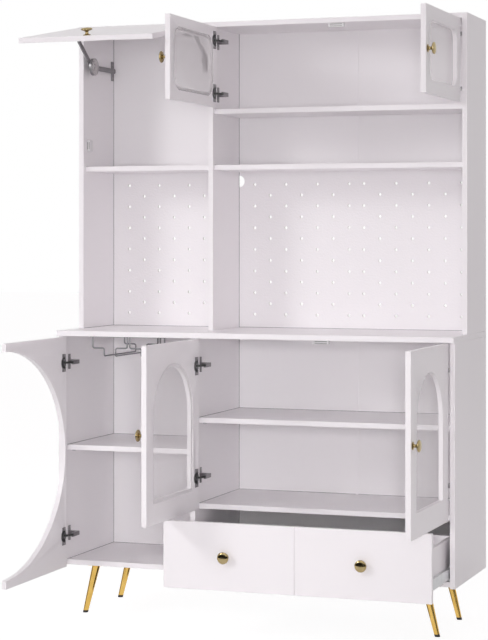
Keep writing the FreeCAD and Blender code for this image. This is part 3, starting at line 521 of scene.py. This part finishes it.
def tidyMesh(mesh, finish, sharp="board"):
    bm = bmesh.new()
    bm.from_mesh(mesh)
    bmesh.ops.remove_doubles(bm, verts=bm.verts, dist=weldGaps["made"])
    bmesh.ops.recalc_face_normals(bm, faces=bm.faces)
    return meshOf(bm, finish, sharp)


# perforated board: an outline filled round staggered circles, then given its thickness
pegBoards = {
    "radius": 0.0045, "holeSteps": 20, "pitch": 0.100, "rowStep": 0.033, "firstDrop": 0.038,
    "columns": 4, "fullRows": 7, "edges": (0.054, 0.051, 0.021), "coreGap": 0.0001,
    "cableRadius": 0.0175, "cableDrop": 0.028, "notched": 1, "arcSteps": 18}
# hole walls: a dark raw-board colour that also paints the shade inside the holes
holeWallShadeLook = {"light": (0.42, 0.37, 0.33), "shade": (0.30, 0.26, 0.23), "rough": 0.85, "grain": 700.0}
pegInputs = {
    "Hole Radius": "Float", "Pitch": "Float", "Row Step": "Float", "First Across": "Float",
    "First Up": "Float", "Columns": "Int", "Full Rows": "Int", "Thickness": "Float", "Finish": "Material"}


def pegPoints(tree):
    given = tree.given
    sets = []
    for shift in (0, 1):
        columns = given["Columns"] - shift
        rows = given["Full Rows"] - shift
        wide = (columns - 1) * given["Pitch"]
        tall = (rows - 1) * given["Row Step"] * 2
        grid = tree.node("GeometryNodeMeshGrid", None, {
            "Size X": wide, "Size Y": tall, "Vertices X": columns, "Vertices Y": rows})
        middle = tree.node("ShaderNodeCombineXYZ", None, {
            0: given["First Across"] + given["Pitch"] * (0.5 * shift) + wide / 2,
            1: given["First Up"] - given["Row Step"] * shift - tall / 2})
        sets.append(tree.node("GeometryNodeTransform", None, {"Geometry": grid, "Translation": middle}))
    return tree.node("GeometryNodeJoinGeometry", None, {0: sets})


def perforatedRecipe():
    tree = Recipe("perforatedBoard", pegInputs)
    given = tree.given
    ring = tree.node("GeometryNodeCurvePrimitiveCircle", None, {
        "Resolution": pegBoards["holeSteps"], "Radius": given["Hole Radius"]})
    rings = tree.node("GeometryNodeInstanceOnPoints", None, {"Points": pegPoints(tree), "Instance": ring})
    loose = tree.node("GeometryNodeRealizeInstances", None, {0: rings})
    edge = tree.node("GeometryNodeMeshToCurve", None, {0: given["Geometry"]})
    lines = tree.node("GeometryNodeJoinGeometry", None, {0: [edge, loose]})
    sheet = tree.node("GeometryNodeFillCurve", None, {0: lines})
    back = tree.node("GeometryNodeFlipFaces", None, {0: sheet})
    raised = tree.node("GeometryNodeExtrudeMesh", None, {
        "Mesh": sheet, "Offset Scale": given["Thickness"], "Individual": False})
    slab = tree.node("GeometryNodeJoinGeometry", None, {0: [back, raised]})
    tree.ends(tree.node("GeometryNodeMergeByDistance", None, {0: slab, "Distance": weldGaps["board"]}))
    return tree


# raw board shows in the wall of each hole; its dark colour is partly raw board and partly painted shade in
# the hole
def coreRecipe():
    tree = Recipe("pegHoleCores", pegInputs)
    given = tree.given
    tube = tree.node("GeometryNodeMeshCylinder", {"fill_type": "NONE"}, {
        "Vertices": pegBoards["holeSteps"], "Radius": given["Hole Radius"] - pegBoards["coreGap"],
        "Depth": given["Thickness"]})
    raised = tree.node("ShaderNodeCombineXYZ", None, {2: given["Thickness"] / 2})
    lifted = tree.node("GeometryNodeTransform", None, {"Geometry": tube, "Translation": raised})
    inward = tree.node("GeometryNodeFlipFaces", None, {0: lifted})
    tree.ends(tree.node("GeometryNodeInstanceOnPoints", None, {
        "Points": pegPoints(tree), "Instance": inward}))
    return tree


# a board's outline, with half a cable hole in its left edge where it is notched
def pegOutline(wide, tall, notch):
    points = [(0, 0), (wide, 0), (wide, tall), (0, tall)]
    if notch:
        centre, radius = tall - pegBoards["cableDrop"], pegBoards["cableRadius"]
        for i in range(pegBoards["arcSteps"] + 1):
            a = math.pi / 2 - math.pi * i / pegBoards["arcSteps"]
            points.append((radius * math.cos(a), centre + radius * math.sin(a)))
    return points


def pegPieces():
    board, core = perforatedRecipe(), coreRecipe()
    raw = dullFinish("rawHoleWall", holeWallShadeLook)
    low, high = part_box("pegboards")
    joint = middleOf("back_joint_strips").x
    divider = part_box("hutch_divider")
    spans = [(low.x, divider[0].x), (divider[1].x, joint), (joint, high.x)]
    tall = high.z - low.z
    upended = Matrix.Rotation(math.pi / 2, 4, "X")
    boards, walls = bmesh.new(), bmesh.new()
    for i, (start, end) in enumerate(spans):
        wide = end - start
        sizes = {
            "Hole Radius": pegBoards["radius"], "Pitch": pegBoards["pitch"],
            "Row Step": pegBoards["rowStep"], "First Across": pegBoards["edges"][i],
            "First Up": tall - pegBoards["firstDrop"], "Columns": pegBoards["columns"],
            "Full Rows": pegBoards["fullRows"], "Thickness": high.y - low.y}
        for tree, made, finish in ((board, boards, finishes["peg_board"]), (core, walls, raw)):
            outline = outlineMesh(pegOutline(wide, tall, i == pegBoards["notched"]))
            mesh = tree.make(outline, {**sizes, "Finish": finish})
            mesh.transform(Matrix.Translation((start, high.y, low.z)) @ upended)
            made.from_mesh(mesh)
    bmesh.ops.recalc_face_normals(boards, faces=boards.faces)
    sheet = meshOf(boards, finishes["peg_board"])
    keepPiece("pegboardsPerforated", sheet, "cabinet", ["pegboards"])
    keepPiece("pegHoleWalls", meshOf(walls, raw, "tube"), "cabinet")


pegPieces()
print("pegboards perforated")


# shadow lines: a dark bead where one board meets another, painted shadow standing in for the shade in each
# joint
beadShadeLook = {"light": (0.16, 0.155, 0.16), "shade": (0.10, 0.097, 0.10), "rough": 0.70, "grain": 120.0}
jointLines = {"radius": 0.0009, "steps": 6, "frontGap": 0.002, "boards": {
    "base_bottom_panel": ("base_left_panel", "base_right_panel"),
    "drawer_deck": ("base_divider", "base_right_panel"),
    "base_left_shelf": ("base_left_panel", "base_divider"),
    "base_right_shelf": ("base_divider", "base_right_panel"),
    "hutch_left_shelf": ("hutch_left_panel", "hutch_divider"),
    "hutch_right_shelves": ("hutch_divider", "hutch_right_panel"),
    "countertop": ("hutch_left_panel", "hutch_right_panel")},
    "bays": (("base", "base_bottom_panel", "countertop"), ("hutch", "countertop", "hutch_top_panel"))}


def shadowBeadRecipe():
    tree = Recipe("jointLines", {"Radius": "Float", "Steps": "Int", "Finish": "Material"})
    given = tree.given
    ring = tree.node("GeometryNodeCurvePrimitiveCircle", None, {
        "Resolution": given["Steps"], "Radius": given["Radius"]})
    path = tree.node("GeometryNodeMeshToCurve", None, {0: given["Geometry"]})
    tree.ends(tree.node("GeometryNodeCurveToMesh", None, {
        "Curve": path, "Profile Curve": ring, "Fill Caps": True}))
    return tree


def shadowBeadPieces():
    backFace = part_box("back_boards")[0].y
    runs = []
    for part, floor, ceiling in jointLines["bays"]:
        left, middle, right = [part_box(part + end) for end in ("_left_panel", "_divider", "_right_panel")]
        for x in (left[1].x, middle[0].x, middle[1].x, right[0].x):
            runs.append(((x, backFace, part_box(floor)[1].z), (x, backFace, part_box(ceiling)[0].z)))
    for board, (left, right) in jointLines["boards"].items():
        source, solids = solidsOf(board)
        start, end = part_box(left)[1].x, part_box(right)[0].x
        for solid in solids:
            low, high = cornersOf(solid)
            front = max(low[1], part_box(left)[0].y) + jointLines["frontGap"]
            runs.append(((start, backFace, high[2]), (end, backFace, high[2])))
            runs += [((x, front, high[2]), (x, backFace, high[2])) for x in (start, end)]
        source.free()
    mesh = bpy.data.meshes.new("runs")
    ends = [spot for run in runs for spot in run]
    mesh.from_pydata(ends, [(i, i + 1) for i in range(0, len(ends), 2)], [])
    # the beads' dark grey is painted shadow in the corners
    shadow = dullFinish("jointShadow", beadShadeLook)
    made = shadowBeadRecipe().make(mesh, {
        "Radius": jointLines["radius"], "Steps": jointLines["steps"], "Finish": shadow})
    keepPiece("cornerJointLines", tidyMesh(made, shadow, "bead"), "cabinet")


shadowBeadPieces()
print("joint lines drawn")


# fluted pane: an arch-topped grid whose front rolls into upright ribs
flutes = {"ribs": 32, "ribSteps": 8, "rows": 5, "ribDepth": 0.0011}


def flutedRecipe():
    tree = Recipe("flutedPane", {
        "Half Width": "Float", "Straight": "Float", "Thickness": "Float", "Rib Depth": "Float",
        "Rib Pitch": "Float", "Columns": "Int", "Rows": "Int", "Finish": "Material"})
    given = tree.given
    half = given["Half Width"]
    grid = tree.node("GeometryNodeMeshGrid", None, {
        "Size X": half * 2, "Size Y": 1.0, "Vertices X": given["Columns"], "Vertices Y": given["Rows"]})
    place = tree.node("GeometryNodeInputPosition")
    x, y = tree.node("ShaderNodeSeparateXYZ", None, {0: place}, out=(0, 1))
    rise = (half * half - x * x).maths("MAXIMUM", 0.0).maths("SQRT")
    up = (y + 0.5) * (given["Straight"] + rise)
    arch = tree.node("GeometryNodeSetPosition", None, {
        "Geometry": grid, "Position": tree.node("ShaderNodeCombineXYZ", None, {0: x, 1: up})})
    back = tree.node("GeometryNodeFlipFaces", None, {0: arch})
    raised, top = tree.node("GeometryNodeExtrudeMesh", None, {
        "Mesh": arch, "Offset Scale": given["Thickness"], "Individual": False}, out=("Mesh", "Top"))
    across = ((x + half) / given["Rib Pitch"]).maths("FRACT") * 2 - 1
    hollow = (1 - (1 - across * across).maths("MAXIMUM", 0.0).maths("SQRT")) * given["Rib Depth"]
    ribbed = tree.node("GeometryNodeSetPosition", None, {
        "Geometry": raised, "Selection": top,
        "Offset": tree.node("ShaderNodeCombineXYZ", None, {2: hollow * -1})})
    slab = tree.node("GeometryNodeJoinGeometry", None, {0: [back, ribbed]})
    tree.ends(tree.node("GeometryNodeMergeByDistance", None, {0: slab, "Distance": weldGaps["made"]}))
    return tree


def flutedPieces():
    tree = flutedRecipe()
    for side in ("left", "right"):
        node = side + "_arch_door_pane"
        outward = facingTowards(side + "_arch_door_panel", side + "_arch_door_knob")
        across = upright.cross(outward)
        low, high = cornersOf(nodes[node].data.vertices, (across, upright, outward))
        half = (high[0] - low[0]) / 2
        mesh = tree.make(outlineMesh([(0, 0), (1, 0), (1, 1)]), {
            "Half Width": half, "Straight": high[1] - low[1] - half, "Thickness": high[2] - low[2],
            "Rib Depth": flutes["ribDepth"], "Rib Pitch": 2 * half / flutes["ribs"],
            "Columns": flutes["ribs"] * flutes["ribSteps"] + 1, "Rows": flutes["rows"],
            "Finish": finishes["fluted_pane"]})
        turn = Matrix((across, upright, outward)).transposed().to_4x4()
        foot = across * (low[0] + half) + upright * low[1] + outward * low[2]
        mesh.transform(Matrix.Translation(foot) @ turn)
        pane = tidyMesh(mesh, finishes["fluted_pane"], "rounded")
        keepPiece(pieceName(node, "Fluted"), pane, bodyOf[node], [node])


flutedPieces()
print("fluted panes made")


# screws: a domed head with a star recess, set on marked points
screwHead = {"radius": 0.0030, "segments": 16, "lobeStep": 4, "rings": [
    (1.0, 1.0, 0.0), (0.97, 0.97, 0.18), (0.80, 0.80, 0.36),
    (0.60, 0.60, 0.44), (0.50, 0.17, 0.47), (0.42, 0.13, 0.12)]}


def screwRecipe():
    tree = Recipe("screwHeads", {"Head": "Object", "Size": "Float", "Finish": "Material"})
    head = tree.node("GeometryNodeObjectInfo", None, {"Object": tree.given["Head"]}, out="Geometry")
    way = tree.node("GeometryNodeInputNamedAttribute", {"data_type": "FLOAT_VECTOR"}, {"Name": "facing"})
    aim = tree.node("FunctionNodeAlignRotationToVector", {"axis": "Z"}, {"Vector": way})
    heads = tree.node("GeometryNodeInstanceOnPoints", None, {
        "Points": tree.given["Geometry"], "Instance": head, "Rotation": aim, "Scale": tree.given["Size"]})
    tree.ends(heads)
    return tree


def screwMesh():
    bm = bmesh.new()
    count = screwHead["segments"]
    rings = []
    for lobe, waist, height in screwHead["rings"]:
        ring = []
        for i in range(count):
            reach = waist if i % screwHead["lobeStep"] else lobe
            a = 2 * math.pi * i / count
            ring.append(bm.verts.new((reach * math.cos(a), reach * math.sin(a), height)))
        rings.append(ring)
    for low, high in zip(rings, rings[1:]):
        for i in range(count):
            j = (i + 1) % count
            bm.faces.new((low[i], low[j], high[j], high[i]))
    bm.faces.new(rings[-1])
    return meshOf(bm, screwSteel, "turned")


screwTree = screwRecipe()
screwPattern = bpy.data.objects.new("screwPattern", screwMesh())
screwSpots = {}


def markScrew(body, spot, way, slot="hinge_steel"):
    screwSpots.setdefault((body, slot), []).append((spot, way.normalized()))


def screwPieces():
    for (body, slot), marks in screwSpots.items():
        start = bpy.data.meshes.new("marks")
        start.from_pydata([spot for spot, way in marks], [], [])
        facingWay = start.attributes.new("facing", "FLOAT_VECTOR", "POINT")
        facingWay.data.foreach_set("vector", [c for spot, way in marks for c in way])
        heads = screwTree.make(start, {
            "Head": screwPattern, "Size": screwHead["radius"], "Finish": screwSteel})
        name = pieceName(body + "_" + slot.split("_")[0], "Screws")
        keepPiece(name, tidyMesh(heads, screwSteel, "turned"), body)


# cup hinges: two screws on each flange, two on each wing
hingeScrews = {"flangeGap": 0.0212, "wingGap": 0.0165, "wingBack": 0.041, "wingThick": 0.003,
               "seatGap": 0.001}
hungBoards = ("curved_door", "left_arch_door", "right_arch_door",
              "left_upper_door", "right_upper_door", "flap")
# the faces that arms sit on: a board and the end of its box, 0 low or 1 high
hingeWalls = {
    "base": (("base_left_panel", 1), ("base_divider", 1), ("base_right_panel", 0)),
    "hutch": (("hutch_divider", 1), ("hutch_right_panel", 0))}


def markFlanges():
    for door in hungBoards:
        inward = facingTowards(door + "_panel", door + "_hinge_cups")
        run = sideways if door == "flap" else upright
        side = inward.cross(run)
        source, solids = solidsOf(door + "_hinge_cups")
        for solid in solids:
            low, high = cornersOf(solid, (inward, run, side))
            for step in (-1, 1):
                along = (low[1] + high[1]) / 2 + step * hingeScrews["flangeGap"]
                spot = inward * high[0] + run * along + side * (low[2] + high[2]) / 2
                markScrew(bodyOf[door + "_panel"], spot, inward)
        source.free()


def markWings():
    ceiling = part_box("hutch_top_panel")[0].z
    gap, thick = hingeScrews["wingGap"], hingeScrews["wingThick"]
    for part, boards in hingeWalls.items():
        walls = [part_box(board)[end].x for board, end in boards]
        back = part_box(part + "_divider")[0].y + hingeScrews["wingBack"]
        source, solids = solidsOf(part + "_hinge_arms")
        for solid in solids:
            low, high = cornersOf(solid)
            middle = centreOf(solid)
            hangs = part == "hutch" and abs(high[2] - ceiling) < hingeScrews["seatGap"]
            wall = min(walls, key=lambda x: min(abs(x - low[0]), abs(x - high[0])))
            hand = 1 if abs(wall - low[0]) < abs(wall - high[0]) else -1
            for step in (-1, 1):
                if hangs:
                    spot = Vector((middle.x + step * gap, back, ceiling - thick))
                    markScrew("cabinet", spot, -upright)
                else:
                    spot = Vector((wall + hand * thick, back, middle.z + step * gap))
                    markScrew("cabinet", spot, sideways * hand)
        source.free()


# stay plates: two screws, above and below the pivot
stayScrews = {"gap": 0.021, "plateThick": 0.003, "leftReach": 0.05}


# 1 for a stay at the left hutch panel, -1 for one at the right
def stayHand(low):
    return 1 if low[0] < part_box("hutch_left_panel")[1].x + stayScrews["leftReach"] else -1


def markStays():
    source, solids = solidsOf("stay_plates")
    for solid in solids:
        low, high = cornersOf(solid)
        middle = centreOf(solid)
        hand = stayHand(low)
        face = (low[0] if hand > 0 else high[0]) + hand * stayScrews["plateThick"]
        for step in (-1, 1):
            spot = Vector((face, middle.y, middle.z + step * stayScrews["gap"]))
            markScrew("cabinet", spot, sideways * hand, "stay_steel")
    source.free()


markFlanges()
markWings()
markStays()
screwPieces()
print("screws set:", sum(len(m) for m in screwSpots.values()))

# stay hubs: a turned cap with a rim groove and a domed rivet
hubCap = {"lap": 0.0002, "faceGap": 1e-5, "profile": [
    (0.0, 0.0), (0.0256, 0.0), (0.0258, 0.0006), (0.0250, 0.0012), (0.0230, 0.0013),
    (0.0222, 0.0006), (0.0208, 0.0006), (0.0200, 0.0016), (0.0128, 0.0024), (0.0118, 0.0018),
    (0.0106, 0.0018), (0.0098, 0.0029), (0.0056, 0.0036), (0.0, 0.0038)]}


def hubPieces():
    bm = bmesh.new()
    source, solids = solidsOf("stay_upper_arms")
    for solid in solids:
        low, high = cornersOf(solid)
        hand = stayHand(low)
        face = high[0] if hand > 0 else low[0]
        centre = centreOf([v for v in solid if abs(v.co.x - face) < hubCap["faceGap"]])
        centre.x = face - hand * hubCap["lap"]
        turned(bm, hubCap["profile"], centre, sideways * hand)
    source.free()
    bmesh.ops.recalc_face_normals(bm, faces=bm.faces)
    keepPiece("stayHubCaps", meshOf(bm, finishes["stay_hub"], "rounded"), "stay_upper")


hubPieces()
print("stay hubs capped")

# magnet catches: a moulded case with two steel pole strips at its mouth
catchShape = {"ease": 0.0014, "segments": 3, "recess": 0.0008,
              "poleWide": 0.0022, "poleDeep": 0.0024, "poleGap": 0.0052, "poleEnd": 0.006}


def catchPieces():
    case = bmesh.new()
    poles = bmesh.new()
    source, solids = solidsOf("magnet_catches")
    for solid in solids:
        low, high = cornersOf(solid)
        long = 0 if high[0] - low[0] > high[2] - low[2] else 2
        cross = 2 - long
        inner = list(low)
        inner[1] += catchShape["recess"]
        made = blockIn(case, inner, high)
        edges = list(dict.fromkeys(e for v in made for e in v.link_edges))
        bevelEdges(case, edges, catchShape["ease"], catchShape["segments"])
        for step in (-1, 1):
            start, end = list(low), list(high)
            middle = (low[cross] + high[cross]) / 2 + step * catchShape["poleGap"] / 2
            start[cross] = middle - catchShape["poleWide"] / 2
            end[cross] = middle + catchShape["poleWide"] / 2
            start[long] += catchShape["poleEnd"]
            end[long] -= catchShape["poleEnd"]
            end[1] = low[1] + catchShape["poleDeep"]
            blockIn(poles, start, end)
    source.free()
    cases = meshOf(case, finishes["white_plastic"], "rounded")
    keepPiece("magnetCatchCases", cases, "cabinet", ["magnet_catches"])
    keepPiece("magnetCatchPoles", meshOf(poles, screwSteel), "cabinet")


catchPieces()
print("magnet catches made")

# stage: pale floor, white surround and soft studio light
viewpoint = {"place": (1.8881, -5.7070, 1.1166), "yaw": 19.68, "lens": 111.23, "sensor": 36.0,
             "shift": (-0.0009, -0.1306)}
stageSizes = {"floor": 30.0, "floorSteps": 6, "paleFloor": (0.84, 0.84, 0.84),
              "grain": 1.4, "grainLift": 1.01, "floorShade": 0.25, "floorGlow": 0.88,
              "surround": (0.445, 0.416, 0.427)}


def seenDirectly(graph):
    camera, glossy, through = graph.node("ShaderNodeLightPath", out=(
        "Is Camera Ray", "Is Glossy Ray", "Is Transmission Ray"))
    return camera.maths("MAXIMUM", glossy).maths("MAXIMUM", through)


def makeFloor():
    bm = bmesh.new()
    steps = stageSizes["floorSteps"]
    bmesh.ops.create_grid(bm, x_segments=steps, y_segments=steps, size=stageSizes["floor"])
    finish = Finish("paleFloor")
    lifted = [c * stageSizes["grainLift"] for c in stageSizes["paleFloor"]]
    colour = finish.blend(finish.noise(stageSizes["grain"]), stageSizes["paleFloor"], lifted)
    pale = finish.node("ShaderNodeBsdfDiffuse", None, {"Color": colour})
    shade = finish.node("ShaderNodeBsdfDiffuse", None, {"Color": (*[stageSizes["floorShade"]] * 3, 1)})
    glow = finish.node("ShaderNodeEmission", None, {"Strength": stageSizes["floorGlow"]})
    bright = finish.node("ShaderNodeAddShader", None, {0: shade, 1: glow})
    mixed = finish.node("ShaderNodeMixShader", None, {0: seenDirectly(finish), 1: pale, 2: bright})
    finish.node("ShaderNodeOutputMaterial", None, {"Surface": mixed})
    floor = bpy.data.objects.new("paleFloor", meshOf(bm, finish.material))
    scene.collection.objects.link(floor)


# dark cards, seen only in reflections, give the polished metal its depth:
# one stands in front, two beside each leg
darkCard = {"place": (0.4, -1.8, 0.32), "wide": 3.4, "tall": 0.30, "tone": 0.02,
            "legTurns": (70, -105), "legGap": 0.14, "legWide": 0.045, "legTall": 0.09}


def makeCards():
    bm = bmesh.new()
    stands = [(Vector(darkCard["place"]), 0.0, darkCard["wide"], darkCard["tall"])]
    source, feet = solidsOf("leg_feet")
    for foot in feet:
        middle = centreOf(foot)
        away = Vector(viewpoint["place"]) - middle
        for turn in darkCard["legTurns"]:
            way = math.atan2(away.y, away.x) + math.radians(turn)
            spot = middle + Vector((math.cos(way), math.sin(way), 0)) * darkCard["legGap"]
            spot.z = darkCard["legTall"]
            stands.append((spot, way + math.pi / 2, darkCard["legWide"], darkCard["legTall"]))
    source.free()
    upended = Matrix.Rotation(-math.pi / 2, 4, "X")
    for spot, turn, wide, tall in stands:
        made = bmesh.ops.create_grid(bm, x_segments=2, y_segments=2, size=1.0)["verts"]
        stood = Matrix.Translation(spot) @ Matrix.Rotation(turn, 4, "Z") @ upended
        bmesh.ops.transform(bm, matrix=stood @ Matrix.Diagonal((wide, tall, 1, 1)), verts=made)
    finish = Finish("darkCards")
    dark = finish.node("ShaderNodeEmission", None, {"Strength": darkCard["tone"]})
    clear = finish.node("ShaderNodeBsdfTransparent")
    glossy = finish.node("ShaderNodeLightPath", out="Is Glossy Ray")
    mixed = finish.node("ShaderNodeMixShader", None, {0: glossy, 1: clear, 2: dark})
    finish.node("ShaderNodeOutputMaterial", None, {"Surface": mixed})
    cards = bpy.data.objects.new("darkCards", meshOf(bm, finish.material))
    scene.collection.objects.link(cards)


def makeSurround():
    world = bpy.data.worlds.new("whiteSurround")
    scene.world = world
    world.use_nodes = True
    graph = Graph(world.node_tree)
    graph.tree.nodes.clear()
    light = graph.node("ShaderNodeMix", {"data_type": "RGBA"}, {
        0: seenDirectly(graph), 6: (*stageSizes["surround"], 1), 7: (1, 1, 1, 1)}, out=2)
    glow = graph.node("ShaderNodeBackground", None, {"Color": light})
    graph.node("ShaderNodeOutputWorld", None, {"Surface": glow})


lamps = {
    "keyLamp": {"place": (-3.4, -4.3, 3.0), "aim": (0.0, -0.2, 1.0),
                "size": 1.4, "spread": 180, "power": 66.0},
    "frontLamp": {"place": (1.75, -6.0, 1.15), "aim": (-0.25, -0.2, 0.40),
                  "size": 1.1, "spread": 46, "power": 7.5},
    "topLamp": {"place": (0.4, -3.6, 4.2), "aim": (0.0, -0.2, 0.9),
                "size": 2.8, "spread": 180, "power": 10.0},
}


def makeLamps():
    for name, look in lamps.items():
        light = bpy.data.lights.new(name, "AREA")
        light.shape = "SQUARE"
        light.size = look["size"]
        light.spread = math.radians(look["spread"])
        light.energy = look["power"]
        lamp = bpy.data.objects.new(name, light)
        lamp.location = look["place"]
        way = Vector(look["aim"]) - Vector(look["place"])
        lamp.rotation_euler = way.to_track_quat("-Z", "Y").to_euler()
        scene.collection.objects.link(lamp)


def makeCamera():
    lens = bpy.data.cameras.new("photoView")
    lens.sensor_fit = "VERTICAL"
    lens.sensor_height = viewpoint["sensor"]
    lens.lens = viewpoint["lens"]
    lens.shift_x, lens.shift_y = viewpoint["shift"]
    camera = bpy.data.objects.new("photoView", lens)
    camera.location = viewpoint["place"]
    camera.rotation_euler = (math.pi / 2, 0, math.radians(viewpoint["yaw"]))
    scene.collection.objects.link(camera)
    scene.camera = camera


makeFloor()
makeCards()
makeSurround()
makeLamps()
makeCamera()
print("stage set")
